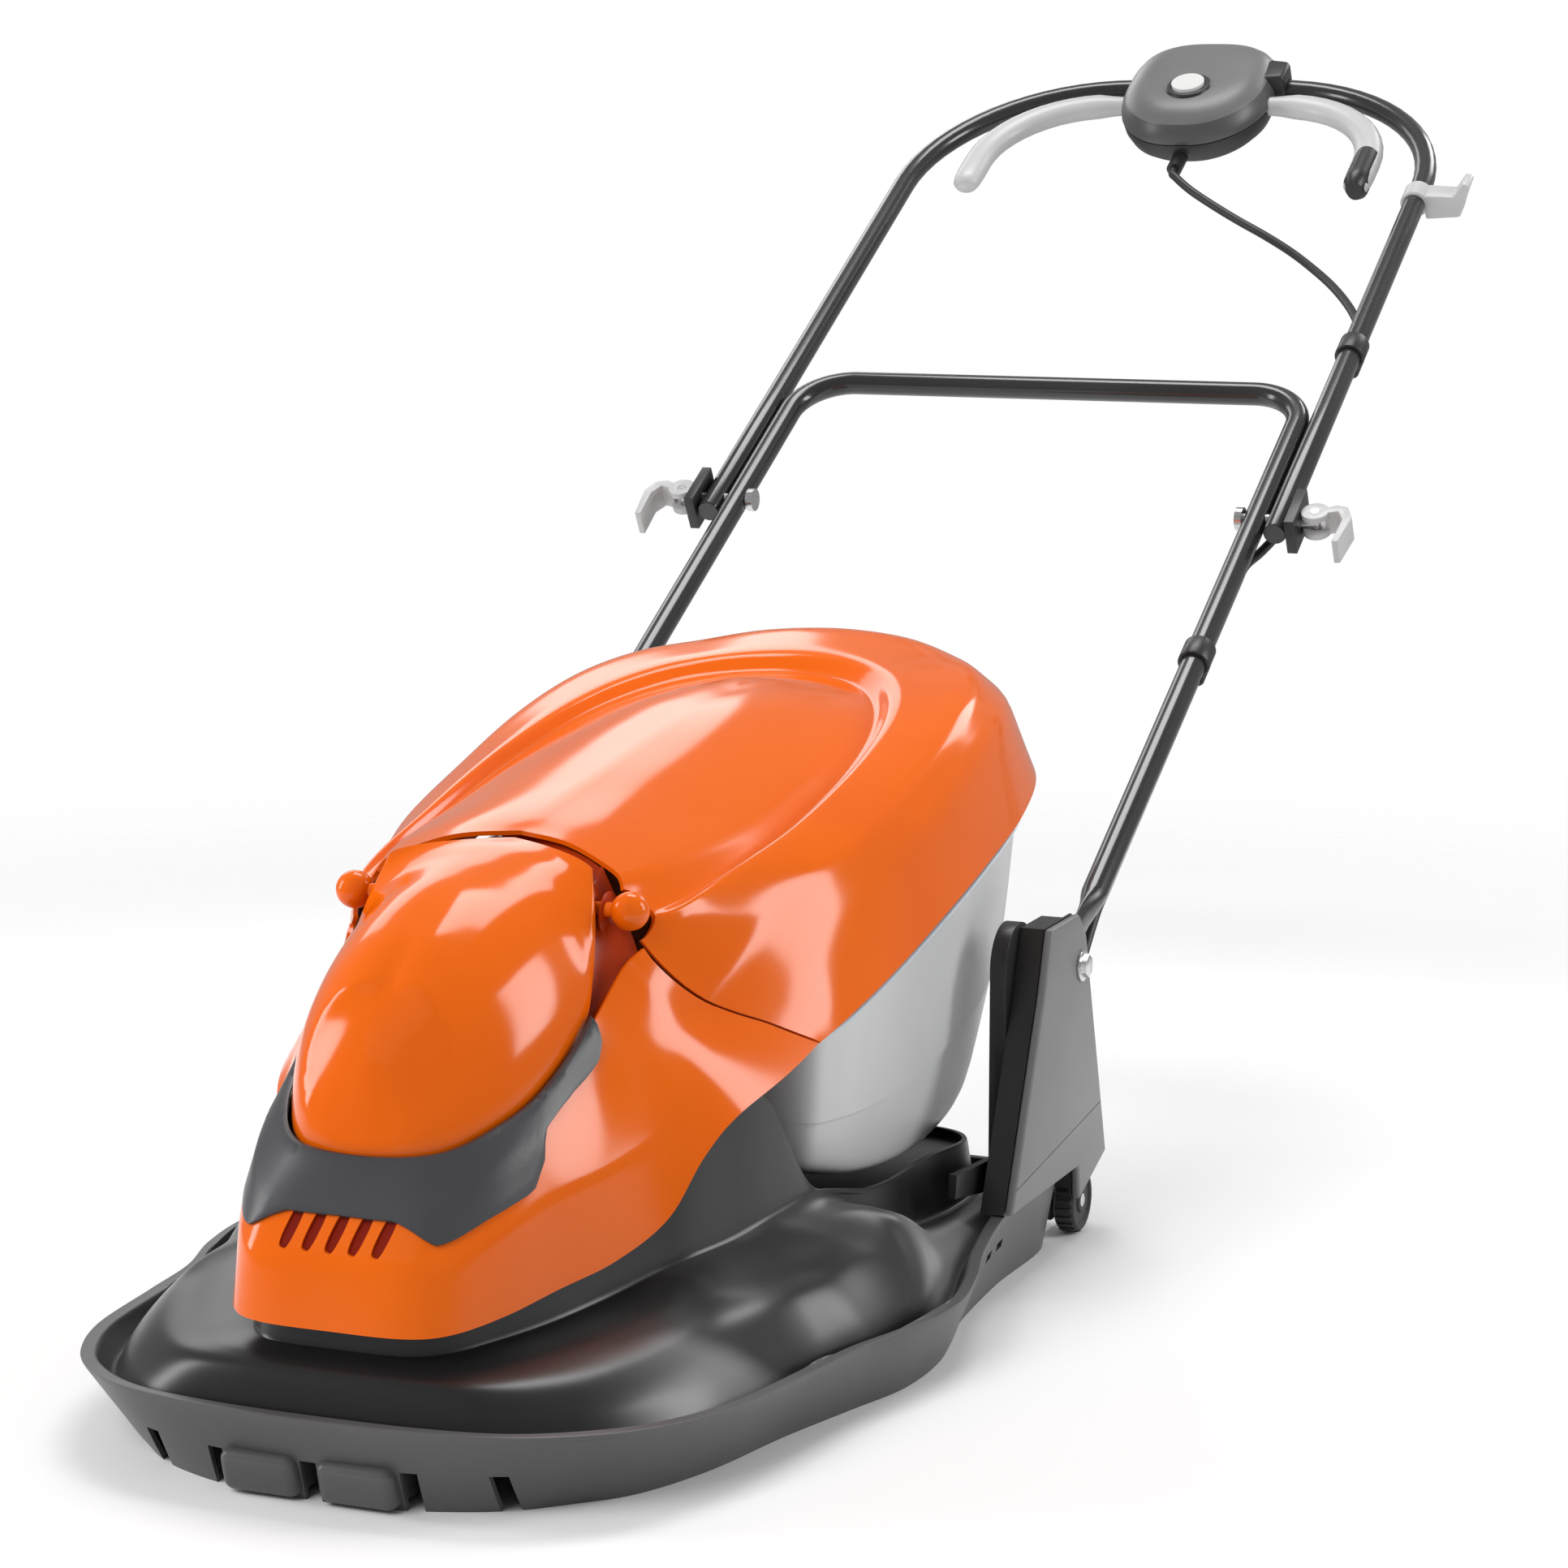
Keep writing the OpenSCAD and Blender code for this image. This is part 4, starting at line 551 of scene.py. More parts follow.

# lead, in four stretches: each rides on one body, or spans two and is left unattached
lead = {
    "diameter": 0.0065, "sides": 18, "steps": 4,
    "rides": {"top": ["upper"], "fold": ["upper", "lower"], "low": ["lower"], "base": ["lower", "base"]},
    "top": [(0, .972, -.0122), (0, .950, -.0122), (.004, .944, -.013), (.018, .932, -.017), (.038, .919, -.022),
            (.062, .903, -.026), (.090, .884, -.029), (.116, .861, -.029), (.141, .833, -.027), (.164, .802, -.023),
            (.185, .767, -.018), (.200, .735, -.014), (.208, .712, -.0124), (.209, .694, -.0122),
            (.209, .660, -.0122), (.209, .590, -.0122), (.209, .513, -.0122)],
    "fold": [(.209, .5126, -.0122), (.209, .499, -.0122), (.207, .483, -.014), (.202, .467, -.016),
             (.197, .451, -.016), (.193, .437, -.014), (.192, .425, -.0122), (.192, .4134, -.0122)],
    "low": [(.192, .413, -.0122), (.192, .320, -.0122), (.192, .300, -.0122), (.192, .190, -.0122),
            (.192, .080, -.0122)],
    "base": [(.192, .0796, -.0122), (.192, .066, -.0122), (.192, .050, -.015), (.1915, .034, -.020),
             (.191, .018, -.025), (.191, .004, -.031), (.191, -.010, -.039), (.191, -.022, -.049),
             (.191, -.032, -.061)]}
for part, bodies in lead["rides"].items():
    path = onHandle(bend(lead[part], lead["steps"]))
    piece = tubeAlong("lead" + part.capitalize(), path, lead["diameter"], lead["sides"])
    piece.data.materials.append(finishes["leadBlack"])
    piece.data.polygons.foreach_set("use_smooth", [True] * len(piece.data.polygons))
    if len(bodies) == 1:
        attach(piece, *bodies)
    else:
        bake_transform(piece)
    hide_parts("lead_" + part)
print("lead laid in four stretches")

# hood, dome and chin band
hood = {
    "edge": [(0, -.332, .264), (.2, -.328, .264), (.305, -.304, .268), (.38, -.244, .28), (.44, -.168, .3),
             (.51, -.09, .324), (.58, -.02, .384), (.635, .024, .5), (.685, .08, .58), (.755, .224, .664)],
    "crease": [(0, -.324, .404), (.19, -.32, .404), (.285, -.3, .412), (.36, -.244, .448), (.415, -.168, .488),
               (.475, -.092, .52), (.53, -.02, .564), (.56, .028, .64), (.59, .08, .696), (.64, .184, .744)],
    "top": [(0, -.3, .488), (.16, -.298, .488), (.25, -.284, .5), (.325, -.232, .56), (.38, -.164, .608),
            (.43, -.076, .652), (.47, -.02, .704), (.495, .028, .752), (.51, .076, .788), (.52, .132, .816)],
    "base": [(0, -.268, .584), (.15, -.26, .588), (.24, -.236, .6), (.31, -.192, .632), (.355, -.14, .672),
             (.38, -.08, .736), (.39, -.028, .804), (.4, .004, .856), (.415, .026, .894), (.435, .05, .92)],
    "along": 8, "across": 8, "creaseOut": [0, 0, 0, .006, .012, .014, .014, .012, .006, 0], "inside": (0, 0.03, 0.1),
    "ventCount": 5, "ventPitch": 0.013, "ventWidth": 0.0065, "ventHeight": 0.021, "ventLean": 18, "ventSides": 24,
    "ventY": -.324, "ventZ": .456, "ventRound": (0.5, 0.8), "ventDeep": 0.04,
    "wellMore": 0.004, "wellDeep": 0.002, "wellEdge": 0.0006, "wellBack": 0.0105, "wellLean": 0.58}
dome = {
    "foot": [(0, -.261, .584), (.135, -.253, .588), (.222, -.23, .6), (.29, -.188, .632), (.333, -.138, .668),
             (.356, -.08, .728), (.362, -.032, .792), (.354, -.008, .872), (.335, .016, .976), (.3, .04, 1.08)],
    "crown": [(0, -.24, .78), (0, -.216, .852), (0, -.184, .924), (0, -.144, .988), (0, -.1, 1.032),
              (0, -.056, 1.066), (0, -.012, 1.088), (0, .028, 1.102), (0, .064, 1.112), (0, .1, 1.116)],
    "along": 8, "steps": 16, "smooth": 0.042, "smoothTimes": 60, "inside": (0, 0, 0.15)}
band = {
    "low": [(0, .95), (.9, .95), (1.3, .74), (1.86, .39), (2.2, .35), (2.85, .33), (3.6, .28), (3.75, .31), (4, .63),
            (4.12, 1.12), (4.4, 1.34), (4.72, 1.46), (5.42, 1.51), (5.72, 1.7), (6, 2.4)],
    "high": 2.5, "lift": 0.002, "wall": 0.0013, "along": 16, "across": 10, "edge": 0.0008, "columns": 8, "reach": 6,
    "inside": (0, 0, 0.1)}
hoodShares = {k: np.array(hood[k]) for k in ("edge", "crease", "top", "base")}
hoodShares["crease"][:, 0] += hood["creaseOut"]
hoodRows = [bow(place(row)) for row in hoodShares.values()]
split = {"sag": 0.012, "reach": 0.045, "inside": 0.03, "lean": 0.75}
splitTop, splitFoot = place(hood["base"])[-1], place(hood["edge"])[-1]
splitWay = place(hood["top"])[-2] - place(hood["top"])[-1]


def sagged(net):  # the line between hood and lid dips towards the hood on each side
    out = net.copy()
    for _, side in bothSides:
        flip = np.array([side, 1, 1])
        run = (splitFoot - splitTop) * flip
        long = np.linalg.norm(run)
        run = run / long
        way = splitWay * flip
        way = way - run * way.dot(run)
        way = way / np.linalg.norm(way)
        away = net - splitTop * flip
        t = np.clip(away @ run / long, 0, 1)
        near = np.exp(-(away @ way / split["reach"]) ** 2) * (net[..., 0] * side > split["inside"])
        out += way * (split["sag"] * np.sin(math.pi * t ** split["lean"]) * near)[..., None]
    return out


def ventSlot(name, index, more, deep):  # a slanted slot, or a larger one of its kind
    middle = place([0, hood["ventY"], hood["ventZ"]]) + [(index - ventMiddle) * hood["ventPitch"], 0, 0]
    lean = math.radians(hood["ventLean"])
    points = []
    for a in circle(hood["ventSides"]):
        x = (hood["ventWidth"] + more) / 2 * rounded(math.cos(a), hood["ventRound"][0])
        z = (hood["ventHeight"] + more) / 2 * rounded(math.sin(a), hood["ventRound"][1])
        points.append((middle[0] + x * math.cos(lean) + z * math.sin(lean),
                       middle[2] - x * math.sin(lean) + z * math.cos(lean)))
    return extruded(name, points, (middle[1] - deep / 2, middle[1] + deep / 2), frontView)


ventMiddle = (hood["ventCount"] - 1) / 2
hoodNet = sagged(netOf(hoodRows, hood["along"], hood["across"], (1, 2), False, 1))
hoodShell = shellOf("hoodShell", hoodNet, hood["inside"], body["wall"])
cutWith(hoodShell, [ventSlot("ventCut", i, 0, hood["ventDeep"]) for i in range(hood["ventCount"])])
finishPiece(hoodShell, "base", "orange_gloss", "motor_hood", sharp=50)
# dark red backs behind the vent slots: painted shade inside the slots
wellShape = ventSlot("wellShape", ventMiddle, hood["wellMore"], hood["wellDeep"])
bevelled(wellShape, hood["wellEdge"], 2)
wellMiddle = place([0, 0, hood["ventZ"]])[2]
for vertex in wellShape.data.vertices:  # the nose slopes back, so the wells do too
    vertex.co.y += (vertex.co.z - wellMiddle) * hood["wellLean"]
ventWells = grown("ventWells", rowOfShapes, {
    "Count": hood["ventCount"], "Step": (hood["ventPitch"], 0, 0), "Shape": wellShape,
    "Start": (-ventMiddle * hood["ventPitch"], hood["wellBack"], 0), "Finish": finishes["recessRed"]})
finishPiece(ventWells, "base", "orange_gloss", looks=("recessRed",))

domeFoot, domeCrown = place(dome["foot"]), place(dome["crown"])


def domeAt(a):  # the dome's row at an angle between its foot and its crown
    return domeFoot + (domeCrown - domeFoot) * [1 - math.cos(a), 1 - math.cos(a), math.sin(a)]


domeRows = [bow(domeAt(quarterTurn * k / dome["steps"])) for k in range(dome["steps"] + 1)]
domeNet = bend(np.array(domeRows).transpose(1, 0, 2), dome["along"]).transpose(1, 0, 2)
domeShell = shellOf("domeShell", domeNet, dome["inside"])
smoothNear(domeShell, domeCrown[0], dome["smooth"], dome["smoothTimes"])
thicken(domeShell, body["wall"])
finishPiece(domeShell, "base", "orange_gloss", "motor_dome", sharp=50)

bandHalves = [place(hood[k]) for k in ("crease", "top", "base")] + [domeFoot]
bandStack = np.stack([bow(half[:band["columns"]]) for half in bandHalves], 1)
bandGrid = []
for k, stack in enumerate(bend(bandStack, band["along"])):
    c = abs(k / band["along"] - band["columns"] + 1)
    if c > band["reach"]:
        continue
    column = []
    for t in np.linspace(float(np.interp(c, *zip(*band["low"]))), band["high"], band["across"] + 1):
        r = min(int(t), 2)
        column.append(stack[r] + (stack[r + 1] - stack[r]) * (t - r))
    bandGrid.append(column)
chinBand = shellOf("chinBand", np.array(bandGrid).transpose(1, 0, 2), band["inside"])
modified(chinBand, "DISPLACE", strength=band["lift"], mid_level=0)
thicken(chinBand, band["lift"] + band["wall"])
bevelled(chinBand, band["edge"], 2)
finishPiece(chinBand, "base", "deck_grey", "chin_band", looks=("bandSatin",))
print("hood, dome and chin band made")

# recess between the dome, the hood and the lid, in a darker orange: painted shade in the groove
recess = {"from": 5, "arc": 8, "inner": (-0.0055, 0, -0.001), "outer": (-0.003, 0.001, -0.0055), "back": 0.018,
          "innerRear": (0, -0.003, -0.007), "half": 0.06, "rise": 0.0042, "low": 0.0062, "dip": (0.001, 0, 0.006),
          "along": 4, "across": 6, "wall": 0.0016, "inside": (0, 0, 0.1)}
innerRow = [p + recess["inner"] for p in domeFoot[recess["from"]:]]
outerRow = [p + recess["outer"] for p in place(hood["base"])[recess["from"]:]]
for a in np.linspace(0, quarterTurn, recess["arc"] + 1)[1:]:
    rear = domeAt(a)[-1]
    middle = max(0, 1 - (rear[0] / recess["half"]) ** 2)
    innerRow.append(rear + recess["innerRear"])
    outerRow.append(rear + [0, recess["back"], recess["rise"] * middle - recess["low"]])
innerRow, outerRow = np.array(innerRow), np.array(outerRow)
middleRow = (innerRow + outerRow) / 2 - recess["dip"]
recessNet = netOf([over(row) for row in (innerRow, middleRow, outerRow)], recess["along"], recess["across"])
seamRecess = shellOf("seamRecess", recessNet, recess["inside"], recess["wall"])
finishPiece(seamRecess, "base", "orange_gloss", looks=("seamOrange",))
print("seam recess made")

# lid
lid = {
    "edge": [(.755, .224, .664), (.78, .3, .7), (.805, .42, .76), (.825, .58, .848), (.82, .72, .912),
             (.79, .86, .964), (.71, 1, 1.012), (.56, 1.096, 1.048), (.31, 1.152, 1.068), (0, 1.168, 1.076)],
    "crease": [(.64, .184, .744), (.7, .28, .856), (.755, .41, .952), (.78, .56, 1.048), (.77, .71, 1.134),
               (.73, .85, 1.19), (.64, .972, 1.21), (.49, 1.052, 1.235), (.27, 1.096, 1.285), (0, 1.108, 1.305)],
    "shoulder": [(.52, .132, .816), (.6, .23, .928), (.685, .36, 1.024), (.705, .54, 1.12), (.695, .69, 1.204),
                 (.65, .82, 1.265), (.56, .924, 1.3), (.42, .992, 1.316), (.23, 1.03, 1.34), (0, 1.04, 1.35)],
    "ridge": [(.41, .032, .955), (.5, .14, 1.02), (.55, .33, 1.082), (.56, .5, 1.152), (.53, .64, 1.212),
              (.47, .744, 1.256), (.38, .824, 1.286), (.275, .876, 1.302), (.15, .906, 1.31), (0, .916, 1.314)],
    "panel": [(.35, .064, 1.066), (.4, .15, 1.078), (.44, .3, 1.1), (.44, .46, 1.15), (.41, .59, 1.196),
              (.36, .68, 1.23), (.29, .75, 1.252), (.2, .8, 1.266), (.11, .83, 1.274), (0, .84, 1.276)],
    "crown": [(0, .11, 1.126), (0, .17, 1.15), (0, .28, 1.184), (0, .4, 1.216), (0, .5, 1.242), (0, .58, 1.26),
              (0, .64, 1.27), (0, .69, 1.276), (0, .72, 1.28), (0, .74, 1.282)],
    "step": 0.009, "stepWay": 0.3, "stepFull": [0, .7, 1, 1, 1, 1, 1, 1, 1, 1],
    "arch": 0.005, "archWay": 0.5, "archFull": [1, 1, 1, 1, 1, .9, .7, .5, .4, .3],
    "gap": 0.0028, "along": 8, "across": 7, "inside": (0, 0.3, 0.2)}
hinge = {"ball": (0.081, 0.021, 0.266), "round": 0.0104, "pin": 0.004, "long": 0.028, "top": 0.06, "rings": 19,
         "sides": 40, "hole": 0.0146, "holeShift": (0.0012, 0.0028, -0.001), "holeWay": (.85, -.28, .45),
         "holeReach": (-0.012, 0.03), "pinHole": 0.0131, "pinReach": (-0.012, 0.012), "holeSides": 48,
         "plate": [(0.0115, 0), (0.0125, 0.0005), (0.0125, 0.0015), (0.0115, 0.002)], "plateAt": (0.0655, 0.026, 0.262)}
lidHalf = {}
for name in ("edge", "crease", "shoulder", "ridge", "panel", "crown"):
    lidHalf[name] = place(lid[name])
    lidHalf[name][0, 1] += lid["gap"]


def lidBetween(low, high, share, lift, full):  # one more row between two others, lifted or lowered
    return lidHalf[low] + (lidHalf[high] - lidHalf[low]) * share + np.outer(full, [0, 0, lift])


lidHalf["step"] = lidBetween("ridge", "panel", lid["stepWay"], -lid["step"], lid["stepFull"])
lidHalf["arch"] = lidBetween("panel", "crown", lid["archWay"], lid["arch"], lid["archFull"])
lidRows = [over(lidHalf[k]) for k in ("edge", "crease", "shoulder", "ridge", "step", "panel", "arch", "crown")]
lidNet = sagged(netOf(lidRows, lid["along"], lid["across"], (1, 2, 3, 4, 5)))
lidShell = shellOf("lidShell", lidNet, lid["inside"], body["wall"])
ball = np.array(hinge["ball"])
holeWay = np.array(hinge["holeWay"]) / np.linalg.norm(hinge["holeWay"])
ballCuts = []
for _, side in bothSides:
    ends = [(ball + hinge["holeShift"] + holeWay * reach) * [side, 1, 1] for reach in hinge["holeReach"]]
    ballCuts.append(cylinderAlong("ballCut", *ends, hinge["hole"], hinge["holeSides"]))
    ends = [(ball + [reach, 0, 0]) * [side, 1, 1] for reach in hinge["pinReach"]]
    ballCuts.append(cylinderAlong("pinCut", *ends, hinge["pinHole"], hinge["holeSides"]))
cutWith(lidShell, ballCuts)
finishPiece(lidShell, "lid", "orange_gloss", "lid", sharp=50)
pinProfile = [(hinge["pin"], 0), (hinge["pin"], hinge["long"] - math.sqrt(hinge["round"] ** 2 - hinge["pin"] ** 2))]
neck = math.pi - math.asin(hinge["pin"] / hinge["round"])
for a in np.linspace(neck, hinge["top"], hinge["rings"])[1:]:
    pinProfile.append((hinge["round"] * math.sin(a), hinge["long"] + hinge["round"] * math.cos(a)))
for sideName, side in bothSides:  # the round-headed pins that it turns on, and a plate beside each
    foot = (ball - [hinge["long"], 0, 0]) * [side, 1, 1]
    pin = spun("hingeBall" + sideName.capitalize(), pinProfile, foot, (side, 0, 0), hinge["sides"])
    finishPiece(pin, "base", "orange_gloss", "hinge_pin_" + sideName)
    # the plate is a darker orange: painted shade in the hole round the ball
    foot = np.array(hinge["plateAt"]) * [side, 1, 1]
    plate = spun("hingeCheek" + sideName.capitalize(), hinge["plate"], foot, (side, 0, 0), hinge["sides"])
    finishPiece(plate, "base", "orange_gloss", looks=("seamOrange",))
print("lid made")

# collection box
box = {
    "rim": [(0, .25, .65), (.4, .25, .65), (.68, .252, .65), (.735, .3, .676), (.765, .42, .736), (.785, .58, .822),
            (.78, .72, .888), (.75, .85, .938), (.67, .975, .984), (.52, 1.064, 1.02), (.29, 1.116, 1.04),
            (0, 1.13, 1.048)],
    "waist": [(0, .256, .46), (.4, .256, .46), (.66, .26, .46), (.715, .31, .45), (.74, .42, .44), (.755, .56, .46),
              (.75, .7, .5), (.72, .82, .56), (.65, .94, .63), (.505, 1.03, .68), (.28, 1.08, .7), (0, 1.094, .71)],
    "foot": [(0, .27, .35), (.4, .27, .35), (.62, .274, .35), (.68, .32, .325), (.7, .42, .28), (.705, .54, .25),
             (.705, .66, .25), (.69, .765, .28), (.62, .855, .32), (.48, .915, .35), (.25, .945, .37),
             (0, .955, .38)],
    "floor": [(0, .32, .31), (.3, .32, .31), (.5, .33, .305), (.54, .36, .29), (.56, .42, .26), (.56, .52, .235),
              (.55, .6, .235), (.5, .67, .25), (.42, .73, .27), (.3, .77, .29), (.16, .79, .3), (0, .795, .305)],
    "keel": [(0, .36, .29), (0, .38, .28), (0, .4, .27), (0, .43, .256), (0, .47, .242), (0, .52, .235),
             (0, .57, .235), (0, .61, .242), (0, .64, .25), (0, .66, .258), (0, .675, .264), (0, .685, .268)],
    "along": 6, "across": 8, "inset": 0.0026, "insetDrop": 0.0007, "inside": (0, 0.3, 0.15),
    "mouth": (0.0892, 0.1187, 0.0448), "mouthReach": (0.115, 0.137), "flange": (0.006, 0.0028), "flangeOut": 0.0028,
    "flangeDrop": 0.001, "flangeFrom": 2, "flangeSides": 12}
boxRows = [ring(place(box[k])) for k in ("rim", "waist", "foot", "floor", "keel")]
boxNet = netOf(boxRows, box["along"], box["across"], (2,), True, 3)
waist = boxNet[box["across"]]
inwards = flatUnit(waist.mean(0) - waist) * box["inset"]
boxNet[box["across"] + 1:] += inwards  # a fine step round the flank
boxNet = np.insert(boxNet, box["across"] + 1, waist + inwards - [0, 0, box["insetDrop"]], 0)
boxShell = shellOf("boxShell", boxNet, box["inside"], body["wall"], True)
mouthHalf, mouthLow, mouthHigh = box["mouth"]
mouth = [(-mouthHalf, mouthLow), (mouthHalf, mouthLow), (mouthHalf, mouthLow + mouthHigh),
         (-mouthHalf, mouthLow + mouthHigh)]
cutWith(boxShell, [extruded("mouthCut", mouth, box["mouthReach"], frontView)])
finishPiece(boxShell, "box", "box_grey", "collection_box", sharp=50)
# a thin flange under the lid's edge, made pale: a painted highlight along the rim
flangeHalf = place(box["rim"])[box["flangeFrom"]:] - [0, 0, box["flangeDrop"]]
flangeHalf = flangeHalf + box["flangeOut"] * flatUnit(flangeHalf - [0, flangeHalf[:, 1].mean(), 0])
flangeRoute = bend(over(flangeHalf * mirror), box["along"])
boxFlange = tubeAlong("boxFlange", flangeRoute, box["flange"], box["flangeSides"])
finishPiece(boxFlange, "box", "box_grey", looks=("rimPale",))
print("collection box made")

# deck
deck = {
    "outline": [(0, -.366), (.23, -.36), (.46, -.326), (.61, -.276), (.725, -.224), (.82, -.132), (.89, -.01),
                (.97, .1), (1.035, .19), (1.045, .284), (1.01, .37), (.97, .44), (.94, .6), (.93, .78), (.75, .81),
                (0, .816)],
    "rim": [(0, -.394, .12), (.3, -.388, .12), (.54, -.368, .12), (.71, -.324, .116), (.835, -.26, .108),
            (.935, -.16, .1), (.99, -.016, .092), (1.025, .09, .088), (1.09, .18, .088), (1.12, .28, .088),
            (1.08, .38, .09), (1.025, .47, .1), (.985, .6, .12), (.965, .792, .12), (.75, .824, .12), (0, .828, .12)],
    "valley": [.08, .08, .078, .07, .06, .05, .044, .04, .036, .036, .04, .05, .06, .07, .08, .08],
    "wall": [(0, -.312, .216, .292), (.185, -.308, .216, .292), (.27, -.284, .216, .294), (.345, -.228, .22, .31),
             (.415, -.164, .228, .33), (.482, -.09, .244, .36), (.55, -.026, .272, .4), (.604, .016, .296, .49),
             (.65, .07, .31, .55), (.7, .14, .33, .58), (.74, .24, .33, .336), (.76, .4, .262, .262),
             (.75, .58, .24, .24), (.74, .72, .22, .22), (.55, .762, .22, .22), (0, .766, .22, .22)],
    "hump": [(.1, 0), (.22, .4), (.4, .72), (.64, .86), (.88, .94)],
    "full": [1, 1, 1, 1, 1, 1, 1, 1, 1, 1, .95, .6, .3, .3, .3, .3],
    "rimWidth": 0.009, "along": 14, "across": 11, "inside": (0, 0.1, 0.03), "humpRows": (2, 8),
    "toneIn": (2.6, 0.6), "toneOut": (5.9, 0.8), "toneFront": (-0.14, 0.12)}
dish = {"at": (0.160, 0.045), "way": (0.318, 0.948), "half": (0.106, 0.039), "edge": 0.005, "edgeWide": 0.16,
        "deep": 0.006, "hollow": 1.3, "from": (-1, 0.8), "square": 2.4, "lip": 0.0016, "lipAt": 1.07, "lipWide": 0.07,
        "firmAlong": (-0.75, 0.7), "firmOver": (-0.5, 0.6), "toneAt": 1.16, "toneWide": 0.26}
deckOutline = np.array([(x * body["halfWidth"], y * body["length"], 0) for x, y in deck["outline"]])
deckRim = place(deck["rim"])
wallFoot = place([row[:3] for row in deck["wall"]])
wallTop = place([(row[0], row[1], row[3]) for row in deck["wall"]])
inward = flatUnit(wallFoot - deckRim)
rimIn = deckRim + deck["rimWidth"] * inward
valleyZ = np.array(deck["valley"]) * body["height"] + body["lift"]
humpRows = []
for way, rise in deck["hump"]:
    row = rimIn + (wallFoot - rimIn) * way
    row[:, 2] = valleyZ + (wallFoot[:, 2] - valleyZ) * rise * np.array(deck["full"])
    humpRows.append(row)
deckHalves = [deckOutline, deckRim, rimIn, *humpRows, wallFoot, wallTop + body["deckWall"] * inward]
deckNet = netOf([ring(half) for half in deckHalves], deck["along"], deck["across"], (1, 2, 3, 8), True, 2)


def risen(value, start, width):  # from 0 at the start to 1 past the width
    return eased((value - start) / width)


rowShare = np.arange(deckNet.shape[0])[:, None] / deck["across"] * np.ones(deckNet.shape[1])
# painted sheen: the hump's outer flank is lighter, fading out towards the front, for the lamps' reflection on it
deckPaintedSheen = (risen(rowShare, *deck["toneIn"]) * eased((deck["toneOut"][0] - rowShare) / deck["toneOut"][1])
            * risen(deckNet[..., 1], *deck["toneFront"]))
humpFirst, humpLast = deck["humpRows"]
onHump = ((rowShare >= humpFirst) & (rowShare <= humpLast)).astype(float)
for _, side in bothSides:  # a scoop on the hump at each side, with a raised lip round it
    flat = deckNet[..., :2] * [side, 1] - dish["at"]
    along = flat @ np.array(dish["way"]) / dish["half"][0]
    across = flat @ np.array([dish["way"][1], -dish["way"][0]]) / dish["half"][1]
    reach = (np.abs(along) ** dish["square"] + np.abs(across) ** dish["square"]) ** (1 / dish["square"])
    firm = risen(along, *dish["firmAlong"]) * risen(across, *dish["firmOver"])
    hollow = (eased((1 - reach) / dish["edgeWide"]) * dish["edge"] * firm
              + np.clip(1 - reach ** 2, 0, 1) ** dish["hollow"] * dish["deep"] * risen(along, *dish["from"]))
    lip = np.exp(-((reach - dish["lipAt"]) / dish["lipWide"]) ** 2) * dish["lip"] * firm
    deckNet[..., 2] += (lip - hollow) * onHump
    # no painted sheen inside the scoop
    deckPaintedSheen *= 1 - eased((dish["toneAt"] - reach) / dish["toneWide"])
deckShell = newPiece("deckShell", deckNet.reshape(-1, 3), gridFaces(*deckNet.shape[:2], True))
rowOfFace = np.repeat(np.arange(deckNet.shape[0] - 1), deckNet.shape[1])
deckLooks = ("skirtSatin", "humpShade")
for look in deckLooks:
    deckShell.data.materials.append(finishes[look])
deckShell.data.polygons.foreach_set("material_index", (rowOfFace >= humpFirst * deck["across"]).astype(int).tolist())
# the painted sheen is kept as the points' tone attribute
deckShell.data.attributes.new("tone", "FLOAT", "POINT").data.foreach_set("value", deckPaintedSheen.ravel().tolist())
tidyMesh(deckShell, deck["inside"])
thicken(deckShell, body["deckWall"])
comb = {"width": 0.045, "gap": 0.009, "height": 0.022, "at": (-1.8, -1, 0, 1, 1.8), "cutY": -0.178, "cutLong": 0.05,
        "cutMore": 0.002, "side": [(-0.1925, 0.0012), (-0.160, 0.0012), (-0.160, 0.024), (-0.1985, 0.024)],
        "blockLess": 0.0012, "round": 0.0058, "roundSteps": 5, "back": 0.0020}
slot = {"at": (0.195, 0.26, 0.0285), "size": (0.027, 0.013, 0.005), "pitch": 0.026}
combPitch = comb["width"] + comb["gap"]
deckCuts = [block("combCut", (k * combPitch, comb["cutY"], (comb["height"] - comb["cutMore"]) / 2),
                  (comb["gap"], comb["cutLong"], comb["height"] + comb["cutMore"])) for k in comb["at"]]
slotX, slotY, slotZ = slot["at"]
deckCuts += [block("slotCut", (side * slotX, slotY + k * slot["pitch"], slotZ), slot["size"])
             for _, side in bothSides for k in (0, 1)]
cutWith(deckShell, deckCuts)
finishPiece(deckShell, "base", "deck_grey", "hover_deck", sharp=50, looks=deckLooks)

# rounded comb blocks on the front of the skirt
combHalf = comb["width"] / 2 - comb["blockLess"]
combShape = extruded("combShape", comb["side"], (-combHalf, combHalf), sideView)
bevelled(combShape, comb["round"], comb["roundSteps"])
combBlocks = grown("combBlocks", rowOfShapes, {
    "Count": 2, "Start": (-combPitch / 2, comb["back"], 0), "Step": (combPitch, 0, 0), "Shape": combShape,
    "Finish": finishes["skirtSatin"]})
finishPiece(combBlocks, "base", "deck_grey")

